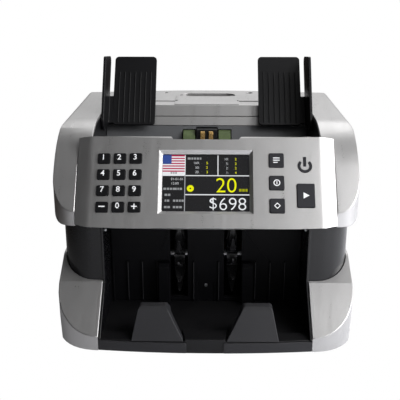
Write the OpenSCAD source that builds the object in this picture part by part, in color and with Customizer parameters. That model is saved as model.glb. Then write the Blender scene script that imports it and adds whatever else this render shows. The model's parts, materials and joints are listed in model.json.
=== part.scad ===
// Banknote counting machine: note hopper on top, leaning control panel with a display,
// stacker pocket below. X runs to the right, Y to the rear, Z up. The origin lies under
// the middle of the case, on the table.

/* [Case] */
// Depth from the tray's front edge to the rear wall
case_d = 274; // [268:1:290]
// Width of the upper shell
shell_w = 264; // [260:1:276]
// Height of the deck
deck_z = 177; // [174:1:186]
// Wall of the mouldings
wall = 2.5; // [2:0.1:3]
// Lower edge of the upper shell
shell_z = 102; // [100:0.5:104]
// Height of the shell's skirt, up to the shoulder
skirt_h = 13; // [11:0.5:15]
// Distance from the tray's front edge back to the shell's skirt
skirt_setback = 43; // [42:0.5:45]
// Slope of the shoulders, from level
shoulder_slope = 53; // [50:1:56]
// Radius where the shoulders roll over into the deck
shoulder_r = 75; // [60:1:85]
// Radius of the shell's front corners, seen from above
shell_corner_r = 20; // [14:1:24]
// Radius of the shell's lower edge
shell_edge_r = 9; // [5:1:12]
// Radius of the deck's bowed rear edge
rear_r = 620; // [500:10:900]
// Distance from the deck's rear edge forward to the lower body's rear wall
rear_overhang = 10; // [8:0.5:12]

/* [Lower body] */
// Distance from the shell's side in to the side covers
cover_in = 3.5; // [2:0.5:5]
// Thickness of the side covers
cover_t = 2.25; // [1.8:0.05:2.5]
// Radius of its front corners
body_corner_r = 28; // [20:1:32]
// How far each side is drawn in at the foot
foot_in = 4; // [2.5:0.5:5]
// Radius of the base's front corners
base_corner_r = 37; // [30:1:40]
// Radius of the base's rear corners
rear_corner_r = 25; // [22:1:28]
// Radius of the base's bowed front edge
front_r = 900; // [700:10:1400]
// Height of the side covers at the front
cover_front_z = 50; // [46:1:54]
// Height of the side covers along the sides
cover_side_z = 66; // [62:1:72]
// Height of the band along the side covers' foot
band_z = 14; // [12:1:16]
// Height of the rubber feet
foot_h = 4; // [3:0.5:6]
// Radius of the rubber feet
foot_r = 9; // [7:0.5:11]

/* [Stacker] */
// Inner width of the stacker pocket
stacker_w = 176; // [172:1:178]
// Depth of the pocket, from the tray's front edge
stacker_d = 86; // [84:0.5:88]
// Floor of the pocket
floor_z = 10; // [9:0.5:11]
// Radius of the vaned wheels
vane_r = 38; // [34:1:39]
// Vanes on a wheel
vane_n = 12; // [8:1:16]
// Width of a vaned wheel
vane_w = 10; // [8:0.5:12]
// Width of a vane at its tip
vane_tip_w = 1.2; // [0.8:0.1:3]
// Radius of the hub that carries the vanes
vane_hub_r = 13; // [11:0.5:15]
// Distance of a vaned wheel from the middle
vane_x = 25; // [24:0.5:26]
// Height of the stacker shaft
stacker_shaft_z = 47; // [45:1:49]
// Height of the note stops above the tray's edge
stop_h = 23; // [18:1:28]
// Lean of the note stops
stop_lean = 38; // [30:1:42]
// Width of a note stop at its foot
stop_foot_w = 44; // [40:1:46]
// Width of a note stop at its top
stop_top_w = 24; // [20:1:30]

/* [Control panel] */
// How far the panel reaches past the hopper on each side
panel_side_w = 10; // [9:0.5:12]
// Height of the panel along its slope
panel_h = 82.5; // [81:0.5:84]
// Lean of the panel from upright
panel_lean = 36; // [35:0.5:37]
// Distance from the tray's front edge back to the panel's lower edge
panel_setback = 29.5; // [29:0.5:31]
// Height of the panel's lower edge
panel_z = 106; // [105:0.5:107]
// Width of the turned-back facet on each side
facet_w = 11; // [9:0.5:13]
// Depth of that facet
facet_d = 4; // [3:0.5:5]
// Crown of the panel's face across its width
panel_crown = 1.5; // [1:0.1:2]
// Depth of the panel's tray
panel_depth = 14; // [13.6:0.1:14.5]
// Width of the finger notch in the top edge
notch_w = 62.5; // [56:0.5:66]
// Depth of the finger notch
notch_d = 3; // [2:0.5:4]
// Distance from the panel's side in to the display's visible area
screen_in = 73.8; // [73:0.1:76]
// Height of the display's visible area
screen_h = 51.2; // [48:0.1:53]
// Width of the bevel around the display
bevel_w = 3.4; // [2:0.1:4]
// Depth of the recess around the display
bevel_d = 3; // [2.4:0.1:3.2]
// Height of the display's middle up the panel
screen_u = 41.1; // [40:0.1:42]

/* [Keys] */
// Width of a number key
key_w = 10.4; // [9:0.1:11]
// Height of a number key
key_h = 9.1; // [8:0.1:10]
// Spacing of the number keys across
key_pitch_x = 13.7; // [13.2:0.1:14.4]
// Spacing of the number keys up the panel
key_pitch_u = 14.5; // [13:0.1:15]
// Distance from the panel's side in to the middle of the number pad
pad_in = 37.1; // [36.5:0.1:38]
// Middle of the lowest row of number keys
pad_u = 18.2; // [17.5:0.1:19]
// Side of a mode key
mode_key = 12.6; // [11:0.1:13]
// Distance from the panel's side in to the middle of the mode keys
mode_in = 50.8; // [50:0.1:51.5]
// Spacing of the mode keys
mode_pitch = 20.3; // [19:0.1:21]
// Middle of the lowest mode key
mode_u = 19.8; // [19:0.1:21]
// Width of the start key
start_w = 15; // [13:0.1:16]
// Height of the start key
start_h = 21; // [19:0.1:22]
// Distance from the panel's side in to the middle of the start and power keys
start_in = 26.4; // [26:0.1:27]
// Middle of the start key up the panel
start_u = 29.1; // [28:0.1:30]
// Outer radius of the power key's ring
power_r = 6; // [5.4:0.1:6.4]
// Middle of the power key up the panel
power_u = 55.8; // [55:0.1:57]
// How far the keys stand out of the panel
key_rise = 1.5; // [1:0.1:2]
// Travel of a key
key_travel = 1.2; // [0.8:0.1:1.4]
// Gap round a key in its hole
key_gap = 0.3; // [0.2:0.05:0.4]

/* [Hopper] */
// Distance from the inside of the hopper out to a side frame
hopper_in = 11; // [10.5:0.5:13]
// Length of the deck behind the hopper
deck_l = 82.5; // [81:0.5:84]
// Lean of the hopper's back from upright
back_lean = 30; // [28:0.5:32]
// Height of the deck's turned-down flange
flange_h = 10.3; // [9:0.1:12]
// Height of the silver back strip below the flange
strip_h = 8; // [7:0.1:9]
// Height of the throat plate below the strip
throat_h = 28; // [26:0.5:30]
// Width of the handle recess
handle_w = 60; // [50:1:70]
// Length of the handle recess from front to rear
handle_l = 20; // [18:1:21]
// Distance of the handle recess from the deck's rear edge
handle_setback = 28; // [27:1:30]
// Depth of the handle recess
handle_d = 16; // [12:1:17]

/* [Note guides] */
// Distance from a guide's side plate in to the outer edge of its ribbed plate
guide_slot = 6.6; // [6:0.1:8]
// Width of a ribbed plate
guide_plate_w = 42.3; // [40:0.1:43]
// Clearance between a guide's side plate and the hopper's side
guide_gap = 0.7; // [0.5:0.1:1.2]
// Thickness of the guide's plates
guide_t = 2.6; // [2:0.1:3]
// Lean of the ribbed plates from upright
guide_lean = 35.8; // [35:0.1:37]
// Length of a ribbed plate along its slope
guide_l = 75; // [70:1:80]
// Travel of a guide
guide_travel = 40; // [30:1:41]
// Teeth of the rack pinion
pinion_teeth = 20; // [16:2:22]
// Tooth module of rack and pinion
rack_module = 1; // [0.9:0.05:1.05]

/* [Drive] */
// Radius of the shafts
shaft_r = 4; // [3:0.5:4.5]
// Radial running clearance of a shaft
run_gap = 0.05; // [0.02:0.01:0.08]
// Radius of the green pickup rollers
pickup_r = 14; // [13:0.5:14.5]
// Width of a roller
roller_w = 12; // [10:0.5:13]
// Distance of the rollers from the middle
roller_x = 17.7; // [17.5:0.1:19]
// Radius of the feed rollers
feed_r = 15; // [14:0.5:15.5]
// Radius of the retard rollers
retard_r = 10; // [9:0.5:10.5]
// Outer radius of a shaft bearing
bearing_r = 8; // [7:0.5:8.5]
// Radius of the motor
motor_r = 21; // [18:1:23]
// Length of the motor
motor_l = 56; // [45:1:60]
// Thickness of the steel side frames
frame_t = 2; // [1.5:0.1:2.5]
// Distance from the lower body's side in to a side frame
frame_in = 14; // [13.5:0.5:16]
// Width of a drive belt
belt_w = 2.6; // [2:0.1:2.8]

/* [Rear] */
// Distance from the lower body's side in to the rear door
door_in = 28; // [26:1:32]
// Height of the rear door
door_h = 46; // [40:1:47]
// Lower edge of the rear door
door_z = 52; // [51:0.5:54]
// Width of the power inlet
inlet_w = 48; // [46:1:52]
// Height of the power inlet
inlet_h = 28; // [26:0.5:30]

/* [Hidden] */

$fn = 48;
arc_step = 10;
chord = 14;
seat = 0.3;
cut = 1;
far = 60;
front_y = -case_d / 2;
rear_y = case_d / 2;
silver = [0.66, 0.66, 0.67];
black = [0.07, 0.07, 0.08];
grey = [0.2, 0.2, 0.21];
steel = [0.7, 0.71, 0.73];

// Shell and base outlines
skirt_y = front_y + skirt_setback;
crease_z = shell_z + skirt_h;
roll_vertex_y = skirt_y + (deck_z - crease_z) / tan(shoulder_slope);
roll_y = roll_vertex_y + shoulder_r * tan(shoulder_slope / 2);
body_front_y = skirt_y + wall + seat;
body_top_z = shell_z + 8;
rear_wall_y = rear_y - rear_overhang;
stacker_y = front_y + stacker_d;
cover_gap = 0.25;
cover_w = shell_w - 2 * cover_in;
body_w = cover_w - 2 * (cover_t + cover_gap);
foot_w = cover_w - 2 * foot_in;
frame_x = body_w / 2 - frame_in;
hopper_w = 2 * (frame_x - hopper_in);
panel_w = hopper_w + 2 * panel_side_w;
deck_front_y = rear_y - deck_l;
door_w = body_w - 2 * door_in;
cheek_t = 2;
cover_x = stacker_w / 2 + cheek_t + 0.2;
ledge_l = 18;
ledge_z = band_z + 1;
ledge_y = front_y + ledge_l;
lip_t = 1.2;
well_z = floor_z - 2;
ceiling_z = panel_z - 2 - 0.4;

// Panel frame: x across, u up the slope, n outwards
panel_y = front_y + panel_setback;
panel_dir = [sin(panel_lean), cos(panel_lean)];
panel_out = [-cos(panel_lean), sin(panel_lean)];
inner_n = -(panel_crown + wall);
mat_n = inner_n - 3.6;
mat_t = 1.4;
board_n = mat_n - 3;
board_t = 1.6;
board_u0 = 10.5;
boss_r = 3;
boss_x = panel_w / 2 - 7;
screen_w = panel_w - 2 * screen_in;
pad_x = pad_in - panel_w / 2;
mode_x = panel_w / 2 - mode_in;
start_x = panel_w / 2 - start_in;
flange_t = 1;
stem_r = 1.5;

// Hopper slopes
back_dir = [sin(back_lean), cos(back_lean)];
flange_foot = [deck_front_y, deck_z] - back_dir * flange_h / cos(back_lean);
strip_top = flange_foot - back_dir * seat;
strip_foot = strip_top - back_dir * strip_h / cos(back_lean);
throat_top = strip_foot - back_dir * seat;
throat_foot = throat_top - back_dir * throat_h / cos(back_lean);
back_out = [cos(back_lean), -sin(back_lean)];
panel_top = [panel_y, panel_z] + panel_dir * panel_h;
panel_back = panel_top - panel_out * panel_depth;
bed_top = panel_back + [1.2, -2.2];
bed_foot = throat_foot + [-6.5, -2];
lining_t = 2;

// Shaft axes as [y, z]
pickup_axis = [deck_front_y - 12.5, deck_z - 37];
feed_axis = pickup_axis - [2, pickup_r + feed_r + 3];
retard_axis = feed_axis - [feed_r + retard_r + 0.5, -4];
stacker_axis = [stacker_y + 28.5, stacker_shaft_z];
motor_axis = [rear_y - 52, floor_z + 26];
// Turn of each stacker wheel on its shaft
vane_turn = [14, 8.5];
belt_x = frame_x + frame_t + 1.2;
belt_step = belt_w + 0.2;
pickup_pulley_r = 9;
feed_pulley_r = 12;
motor_pulley_r = 8;
stacker_pulley_r = 24;
belt_t = 1.5;

// Note guides and their rack
guide_out = hopper_w / 2 - guide_gap;
guide_in = guide_out - guide_slot - guide_plate_w;
guide_dir = [sin(guide_lean), cos(guide_lean)];
guide_out_dir = [cos(guide_lean), -sin(guide_lean)];
guide_foot = [deck_front_y - 23.5, deck_z - 15];
slot_y = deck_front_y + 20.5;
slot_w = 4.4;
arm_t = 3.2;
arm_x = guide_out - 28.7;
slot_in = arm_x - guide_travel - 0.6;
arm_w = 12;
pinion_r = pinion_teeth * rack_module / 2;
rack_pitch = PI * rack_module;
rack_h = 4;
rack_z = deck_z - wall - 8.3;
rack_mesh_gap = 0.15;
rack_w = 5;
rail_z = rack_z - 3.3;
rail_x = guide_out - 2.3;

// Rear wall
hinge_axis = [rear_wall_y - 0.8, door_z + 2.2];
bead_r = 2.2;
pip_r = 1.5;
lug_w = 4;
door_gap = 0.4;
inlet_x = body_w / 2 - 52;
inlet_z = 32;
rocker_x = inlet_x + inlet_w / 2 - 9;
rocker_axis = [rear_wall_y - 1, inlet_z];
rocker_r = 9.95;
socket_x = inlet_x - 7;

// Outlines

function unit(v) = v / norm(v);

// Arc that rounds corner b between its neighbours a and c
function corner(a, b, c, r) =
    let (
        u = unit(a - b),
        w = unit(c - b),
        half = acos(u * w) / 2,
        m = b + unit(u + w) * r / sin(half),
        p = b + u * r / tan(half) - m,
        q = b + w * r / tan(half) - m,
        start = atan2(p.y, p.x),
        turn = (atan2(q.y, q.x) - start + 540) % 360 - 180,
        n = max(1, ceil(abs(turn) / arc_step), ceil(r * abs(turn) * PI / 180 / chord))
    )
    r <= 0 ? [b] : [for (i = [0:n]) m + r * [cos(start + turn * i / n), sin(start + turn * i / n)]];

// Closed outline whose corners are given as [x, y, radius]
function rounded(p) =
    let (n = len(p), flat = [for (v = p) [v.x, v.y]])
    [for (i = [0:n - 1]) each corner(flat[(i + n - 1) % n], flat[i], flat[(i + 1) % n], p[i].z)];

function box_outline(w, h, r) = rounded([[-w / 2, -h / 2, r], [w / 2, -h / 2, r], [w / 2, h / 2, r],
    [-w / 2, h / 2, r]]);

// Middle and corner heights of an edge bowed outwards to y, with s = 1 at the rear and -1 in front
function bowed(half, y, r, s) =
    let (q = asin(0.7 * half / r), mid = y + s * r * (1 / cos(q) - 1))
    [mid, mid - s * half * tan(q)];

// Outline of the base, drawn in by d
function base_plan(d) =
    let (half = cover_w / 2 - d, edge = bowed(half, front_y + d, front_r, -1), y1 = rear_wall_y - d)
    rounded([
        [0, edge[0], front_r], [half, edge[1], base_corner_r - d], [half, y1, rear_corner_r - d],
        [-half, y1, rear_corner_r - d], [-half, edge[1], base_corner_r - d]
    ]);

// Front view of the base, which widens upwards, drawn in by d
function base_front(d) =
    let (half = cover_w / 2 - d, foot = foot_w / 2 - d)
    [[-foot, 0], [foot, 0], [half, cover_front_z - 6], [half, deck_z], [-half, deck_z],
    [-half, cover_front_z - 6]];

// Strip of thickness t behind a sloping line from a to b, both as [y, z]
function strip(a, b, t) =
    let (d = unit(b - a), side = [-d.y, d.x] * t)
    [a, b, b + side, a + side];

module along_x(w, points) {
    rotate([90, 0, 90]) linear_extrude(w, center = true) polygon(points);
}

module from_x(x0, x1, points) {
    translate([x0, 0, 0]) rotate([90, 0, 90]) linear_extrude(x1 - x0) polygon(points);
}

module along_y(y0, y1, points) {
    translate([0, y1, 0]) rotate([90, 0, 0]) linear_extrude(y1 - y0) polygon(points);
}

module up(z0, z1, points) {
    translate([0, 0, z0]) linear_extrude(z1 - z0) polygon(points);
}

module block(low, high) {
    translate(low) cube(high - low);
}

// Rod along X round an axis given as [y, z]
module rod(axis, x0, x1, r) {
    translate([x0, axis.x, axis.y]) rotate([0, 90, 0]) cylinder(h = x1 - x0, r = r);
}

// Copies children on the left and, mirrored, on the right
module both_sides() {
    children();
    mirror([1, 0, 0]) children();
}

module on_panel(x = 0, u = 0, n = 0) {
    translate([0, panel_y, panel_z]) rotate([90 - panel_lean, 0, 0]) translate([x, u, n]) children();
}

// Upright prism on the panel between two depths
module panel_prism(x, u, n0, n1, points) {
    on_panel(x, u, n0) linear_extrude(n1 - n0) polygon(points);
}

// Upper shell

// Shoulder profile of the shell, drawn in by d
function shoulder(d) = rounded([
    [skirt_y + d, shell_z - cut, 0], [skirt_y + d, crease_z - d * tan(45 - shoulder_slope / 2), 0],
    [roll_vertex_y + d * tan(shoulder_slope / 2), deck_z - d, shoulder_r - d],
    [rear_y + 20, deck_z - d, 0], [rear_y + 20, shell_z - cut, 0]
]);

// Height of the shoulder's top at y
function roll_z(y) =
    y > roll_y ? deck_z : deck_z - shoulder_r + sqrt(pow(shoulder_r, 2) - pow(y - roll_y, 2));

// Plan of the shell, drawn in by d
function shell_plan(d) =
    let (half = shell_w / 2 - d, edge = bowed(half, rear_y - d, rear_r, 1))
    rounded([
        [-half, skirt_y + d, shell_corner_r - d], [half, skirt_y + d, shell_corner_r - d],
        [half, edge[1], 5], [0, edge[0], rear_r], [-half, edge[1], 5]
    ]);

// Front view of the shell, drawn in by d
function shell_front(d) =
    let (half = shell_w / 2 - d, low = shell_z - (d > 0 ? cut : 0), r = d > 0 ? 0 : shell_edge_r)
    rounded([[-half, low, r], [half, low, r], [half, deck_z - d, 5], [-half, deck_z - d, 5]]);

module shell_solid(d) {
    intersection() {
        along_x(2 * shell_w, shoulder(d));
        up(0, 2 * deck_z, shell_plan(d));
        along_y(-case_d, case_d, shell_front(d));
    }
}

// Lower rear edge of the panel's tray, where its floor meets the back
function panel_heel(d) =
    let (p = [panel_y, panel_z] - panel_out * d, t = (panel_z - 2 - p.y) / panel_dir.y)
    p + panel_dir * t;

// Space that the panel's tray takes, with clearance g
module panel_space(g) {
    heel = panel_heel(panel_depth + g);
    along_x(panel_w + 2 * g, [
        [panel_y - 40, heel.y - g], [heel.x + g, heel.y - g], panel_back + (panel_dir - panel_out) * g,
        panel_top + panel_out * 40 + panel_dir * g
    ]);
}

module handle_pocket(d) {
    translate([0, rear_y - handle_setback, 0])
        up(deck_z - handle_d - d, deck_z + cut, box_outline(handle_w + 2 * d, handle_l + 2 * d,
            handle_l / 2 + d - 0.1));
}

module upper_shell() color(silver) {
    difference() {
        union() {
            difference() {
                shell_solid(0);
                shell_solid(wall);
            }
            along_x(hopper_w - 2 * seat, strip(flange_foot, [deck_front_y, deck_z] - back_dir * wall, -wall));
            intersection() {
                handle_pocket(wall);
                shell_solid(0);
            }
            // Raised strip between the guide slots, up to the handle recess
            block([-slot_in - 2, deck_front_y + 1, deck_z - cut],
                [slot_in + 2, rear_y - handle_setback - handle_l / 2 + 2, deck_z + 0.8]);
        }
        along_x(hopper_w, [
            flange_foot, [deck_front_y, deck_z], [deck_front_y + 5, deck_z + 5 / tan(back_lean)],
            [front_y, deck_z + 5 / tan(back_lean)], [front_y, 0], [flange_foot.x, 0]
        ]);
        panel_space(0.4);
        block([-panel_w / 2 - 0.4, front_y, 0], [panel_w / 2 + 0.4, body_front_y + cut, panel_z]);
        handle_pocket(0);
        both_sides() block([slot_in, slot_y - slot_w / 2, deck_z - 10],
            [arm_x + arm_w + 1, slot_y + slot_w / 2, deck_z + 5]);
        translate([46, rear_y - 14, deck_z - 10]) cylinder(h = 20, r = 3.6);
        translate([-46, rear_y - 14, deck_z - 10]) cylinder(h = 20, r = 2.2);
    }
}

module hopper_back() color(silver)
    along_x(hopper_w - 2 * seat, strip(strip_foot, strip_top, -wall));

module throat_plate() color(grey) difference() {
    along_x(hopper_w - 2 * seat, strip(throat_foot, throat_top, -2));
    for (x = [-roller_x, roller_x])
        block([x - roller_w / 2 - 1, 0, pickup_axis.y - 8.8],
            [x + roller_w / 2 + 1, 80, pickup_axis.y + 14.8]);
    block([-10.8, 0, block_z - seat], [10.8, 80, pickup_axis.y + 17]);
}

// Hopper

module hopper_tub() color(black) {
    inside = hopper_w / 2;
    along_x(hopper_w, strip(bed_top, bed_foot, -wall));
    both_sides() from_x(inside, inside + lining_t, concat(
        [bed_top - [0, wall]],
        [for (i = [0:6]) let (y = bed_top.x + i * 8) [y, roll_z(y) - wall - 2 * seat]],
        [[deck_front_y - 4, deck_z - wall - 2 * seat], strip_top - [0.5, 4], throat_foot + [2, 0],
        bed_foot - [0, wall]]
    ));
}

block_z = pickup_axis.y + shaft_r + 2.2;

module centre_block() color(black) difference() {
    from_x(-10.4, 10.4, rounded([
        [pickup_axis.x - 12, block_z, 1], [pickup_axis.x + 1, block_z, 1],
        [pickup_axis.x + 1, block_z + 10.4, 3], [pickup_axis.x - 9, block_z + 10.4, 3]
    ]));
    for (x = [-4.1, 4.1])
        block([x - 2.2, pickup_axis.x - 20, block_z - cut], [x + 2.2, pickup_axis.x - 8, block_z + 9]);
}

module brass_forks() color([0.75, 0.58, 0.32])
    for (x = [-4.1, 4.1]) from_x(x - 2.1, x + 2.1, rounded([
        [pickup_axis.x - 14, block_z + 0.5, 1], [pickup_axis.x - 8, block_z + 0.5, 0],
        [pickup_axis.x - 8, block_z + 8.8, 0], [pickup_axis.x - 12, block_z + 8.8, 2.5]
    ]));

// Control panel

// Cross-section of the panel in x and n, drawn in by d
function panel_section(d) =
    let (half = panel_w / 2, flat = half - facet_w)
    d > 0
        ? [[-half + d, -far], [half - d, -far], [half - d, inner_n - facet_d], [flat - d, inner_n],
           [-flat + d, inner_n], [-half + d, inner_n - facet_d]]
        : concat(
            [[-half, -far], [half, -far], [half, -panel_crown - facet_d]],
            [for (i = [6:-1:-6]) [flat * i / 6, -panel_crown * i * i / 36]],
            [[-half, -panel_crown - facet_d]]);

// Side profile of the panel's outside as [y, z]
function panel_side() =
    let (heel = panel_heel(panel_depth), out = panel_out * far, top = panel_top)
    rounded([
        [panel_y + 1.5, panel_z - 2, 1.2], [panel_y, panel_z, 2], [panel_y + out.x, panel_z + out.y, 0],
        [top.x + out.x, top.y + out.y, 0], [panel_back.x, panel_back.y, 0], [heel.x, heel.y, 0]
    ]);

// Side profile of the hollow behind it
function panel_hollow() =
    let (heel = panel_heel(panel_depth + cut), top = panel_top - panel_dir * wall)
    [[panel_y - far, panel_z - 2 + wall], [heel.x + 2, panel_z - 2 + wall],
    top - panel_out * (panel_depth + cut),
        top + panel_out * 80];

module along_panel(points) {
    on_panel(0, panel_h + 60, 0) rotate([90, 0, 0]) linear_extrude(panel_h + 120) polygon(points);
}

// Front view of the panel: the lower edge is bowed
function panel_front() =
    let (half = panel_w / 2 + cut)
    rounded([
        [-half, panel_z, 0], [0, panel_z - 2, half * 14], [half, panel_z, 0],
        [half, 2 * deck_z, 0], [-half, 2 * deck_z, 0]
    ]);

function panel_skin(x) = -panel_crown * pow(x / (panel_w / 2 - facet_w), 2);

// Tapered recess round the display, across a side of length l about c
function bevel_line(l, c) =
    let (low = l / 2, high = l / 2 + bevel_w * 4 / 3)
    [[c - low, -bevel_d], [c + low, -bevel_d], [c + high, cut], [c - high, cut]];

module front_panel() color(silver) {
    difference() {
        union() {
            difference() {
                intersection() {
                    along_x(panel_w + 2, panel_side());
                    along_panel(panel_section(0));
                    along_y(2 * front_y, 0, panel_front());
                }
                intersection() {
                    along_x(panel_w + 2, panel_hollow());
                    along_panel(panel_section(wall));
                }
            }
            for (x = [-boss_x, boss_x], u = [board_u0 + 5, panel_h - 10])
                on_panel(x, u, board_n) cylinder(h = inner_n - board_n, r = boss_r);
        }
        // Chamfer along the top edge
        along_x(panel_w + 2, [
            panel_top - panel_dir * 3 + panel_out, panel_top + panel_out * 5,
            panel_top + panel_dir * 2 - panel_out * 1.6,
            panel_top - panel_out * 1.2, panel_top - panel_dir * 2.2
        ]);
        panel_prism(0, panel_h, -panel_depth - cut, cut, [
            [-notch_w / 2, cut], [notch_w / 2, cut], [notch_w / 2 - notch_d, -notch_d],
            [notch_d - notch_w / 2, -notch_d]
        ]);
        // Window with a bevelled surround
        panel_prism(0, screen_u, inner_n - cut, cut, box_outline(screen_w, screen_h, 1));
        intersection() {
            along_panel(bevel_line(screen_w, 0));
            on_panel(-panel_w / 2) rotate([90, 0, 90]) linear_extrude(panel_w)
                polygon(bevel_line(screen_h, screen_u));
        }
        for (k = PAD) panel_prism(k.x, k.y, inner_n - cut, 2,
            box_outline(key_w + 2 * key_gap, key_h + 2 * key_gap, 1.4));
        for (k = MODES) panel_prism(k.x, k.y, inner_n - cut, 2,
            box_outline(mode_key + 2 * key_gap, mode_key + 2 * key_gap, 1.4));
        panel_prism(start_x, start_u, inner_n - cut, 2,
            box_outline(start_w + 2 * key_gap, start_h + 2 * key_gap, 1.4));
        on_panel(start_x, power_u, inner_n - cut) power_shape(key_gap, 8);
    }
}

module display_window() color([0.1, 0.1, 0.12, 0.6])
    panel_prism(0, screen_u, inner_n - 1.4, inner_n, box_outline(screen_w + 4, screen_h + 4, 1));

module display_module() color([0.25, 0.27, 0.25])
    panel_prism(0, screen_u, board_n, inner_n - 1.4, box_outline(screen_w + 6, screen_h + 7, 1));

// Keys

PAD_ORDER = [[0, 3], [1, 3], [2, 3], [0, 2], [1, 2], [2, 2], [0, 1], [1, 1], [2, 1], [0, 0], [1, 0], [2, 0]];
PAD = [for (k = PAD_ORDER) [pad_x + (k.x - 1) * key_pitch_x, pad_u + k.y * key_pitch_u]];
MODES = [for (i = [2:-1:0]) [mode_x, mode_u + i * mode_pitch]];

// A key cap with the flange that keeps it behind the panel, and its stem
module key(at, w, h) color(black) {
    skin = panel_skin(at.x);
    panel_prism(at.x, at.y, inner_n - seat - flange_t, skin + key_rise, box_outline(w, h, 1.2));
    panel_prism(at.x, at.y, inner_n - seat - flange_t, inner_n - seat, box_outline(w + 1.8, h + 1.8, 1.2));
    on_panel(at.x, at.y, mat_n + key_travel + 0.2)
        cylinder(h = inner_n - seat - mat_n - key_travel - 0.2, r = stem_r);
}

// Open ring with a bar through its gap, grown by g
module power_shape(g, h) {
    reach = power_r + 2;
    linear_extrude(h) {
        difference() {
            circle(r = power_r + g);
            circle(r = power_r - 2 - g);
            translate([0, g * sqrt(2)]) polygon([[0, 0], [reach, reach], [-reach, reach]]);
        }
        translate([-1.05 - g, -0.2 - g]) square([2.1 + 2 * g, 8.2 + 2 * g]);
    }
}

module key_power() color(grey) {
    skin = panel_skin(start_x);
    flange_n = inner_n - seat - flange_t;
    on_panel(start_x, power_u, flange_n) power_shape(0, skin + 0.8 - flange_n);
    on_panel(start_x, power_u, flange_n) cylinder(h = flange_t, r = power_r + 2.4);
    on_panel(start_x, power_u, mat_n + key_travel + 0.2)
        cylinder(h = inner_n - seat - mat_n - key_travel - 0.2, r = stem_r);
}

// Silicone mats with a dome under each key
module key_mat() color(grey) {
    domes = concat(PAD, MODES, [[start_x, start_u], [start_x, power_u]]);
    for (x = [pad_x, (mode_x + start_x) / 2 + 1.5])
        panel_prism(x, board_u0 + 30.5, board_n, board_n + mat_t, box_outline(46, 60, 3));
    for (k = domes) on_panel(k.x, k.y, board_n + mat_t / 2) cylinder(h = mat_n - board_n - mat_t / 2, r = 3);
}

module key_board() color([0.1, 0.35, 0.2])
    panel_prism(0, (board_u0 + panel_h - 5) / 2, board_n - board_t, board_n,
        box_outline(panel_w - 8, panel_h - 5 - board_u0, 2));

// Lower body

// Profile of the side covers, lowered by d: foot band, toe slope, then along the side
function cover_profile(d) = rounded([
    [front_y - 20, foot_h - d, 0], [front_y - 20, band_z - d, 0], [front_y + 1, band_z - d, 0],
    [body_front_y - cover_t, cover_front_z - d, 4], [body_front_y + 26, cover_side_z - d, 14],
    [rear_y, cover_side_z + 3 - d, 0], [rear_y, foot_h - d, 0]
]);

// Solid of the base within its outline drawn in by d
module base_solid(d, z0, z1) {
    intersection() {
        up(z0, z1, base_plan(d));
        along_y(-case_d, case_d, base_front(d));
    }
}

module side_cover() {
    drop = 1.3 * cover_t;
    difference() {
        intersection() {
            base_solid(0, foot_h, deck_z);
            along_x(2 * cover_w, cover_profile(0));
            block([cover_x, -case_d, 0], [cover_w, case_d, deck_z]);
        }
        // Hollow under the toe and the shelf round the body's corner
        intersection() {
            base_solid(cover_t, 0, deck_z);
            along_x(2 * cover_w, cover_profile(drop));
        }
        body_solid(-cover_gap, band_z, deck_z);
        // Opening for the rear door and the inlet
        block([0, 0, 0], [door_w / 2 + door_gap + lug_w + 2 * seat, case_d, deck_z]);
    }
}

module side_cover_right() color(silver) side_cover();

module side_cover_left() color(silver) mirror([1, 0, 0]) side_cover();

// Outline of the black lower body in plan, drawn in by d
function body_plan(d) =
    let (half = body_w / 2 - d, y0 = body_front_y + d, y1 = rear_wall_y - cover_t - cover_gap - d)
    rounded([
        [-half, y0, body_corner_r - d], [half, y0, body_corner_r - d],
        [half, y1, rear_corner_r - d], [-half, y1, rear_corner_r - d]
    ]);

body_back_y = rear_wall_y - cover_t - cover_gap;

module body_solid(d, z0, z1) {
    intersection() {
        up(z0, z1, body_plan(d));
        along_y(-case_d, case_d, base_front(cover_t + cover_gap + d));
    }
}

module lower_body() color(black) {
    half = stacker_w / 2;
    slope_in = cover_t + cover_gap;
    difference() {
        union() {
            difference() {
                body_solid(0, band_z + seat, body_top_z);
                body_solid(wall, 0, body_top_z + cut);
                block([-half - cheek_t, -case_d, 0], [half + cheek_t, stacker_y, deck_z]);
            }
            // Cheeks on both sides of the stacker pocket
            both_sides() from_x(half, half + cheek_t, [
                [front_y + lip_t + 2, ledge_z + seat], [front_y + lip_t + 3, ledge_z + 1],
                [body_front_y - 2, cover_front_z - 1], [body_front_y - 2, ceiling_z],
                [stacker_y + wall, ceiling_z], [stacker_y + wall, band_z + seat],
                [ledge_y + seat, band_z + seat], [ledge_y + seat, ledge_z + seat]
            ]);
            block([-half - cheek_t, body_front_y - 2, ceiling_z - wall],
                [half + cheek_t, stacker_y + wall, ceiling_z]);
            both_sides() hinge_lug();
        }
        panel_space(0.4);
        block([-door_w / 2 - door_gap, body_back_y - 2 * wall, hinge_axis.y - bead_r - 0.3],
            [door_w / 2 + door_gap, rear_y, door_z + door_h + door_gap]);
        block([inlet_x - inlet_w / 2 + 1, body_back_y - 2 * wall, inlet_z - inlet_h / 2 + 1],
            [inlet_x + inlet_w / 2 - 1, rear_y, inlet_z + inlet_h / 2 - 1]);
        both_sides() rod(hinge_axis, 0, door_w / 2 + door_gap + lug_w + cut, pip_r + run_gap);
    }
}

module hinge_lug() {
    from_x(door_w / 2 + door_gap, door_w / 2 + door_gap + lug_w, rounded([
        [body_back_y - 1, hinge_axis.y - 3.4, 0], [hinge_axis.x + 3, hinge_axis.y - 3.4, 2],
        [hinge_axis.x + 3, hinge_axis.y + 3.2, 2], [body_back_y - 1, hinge_axis.y + 3.2, 0]
    ]));
}

// Base and stacker

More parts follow.
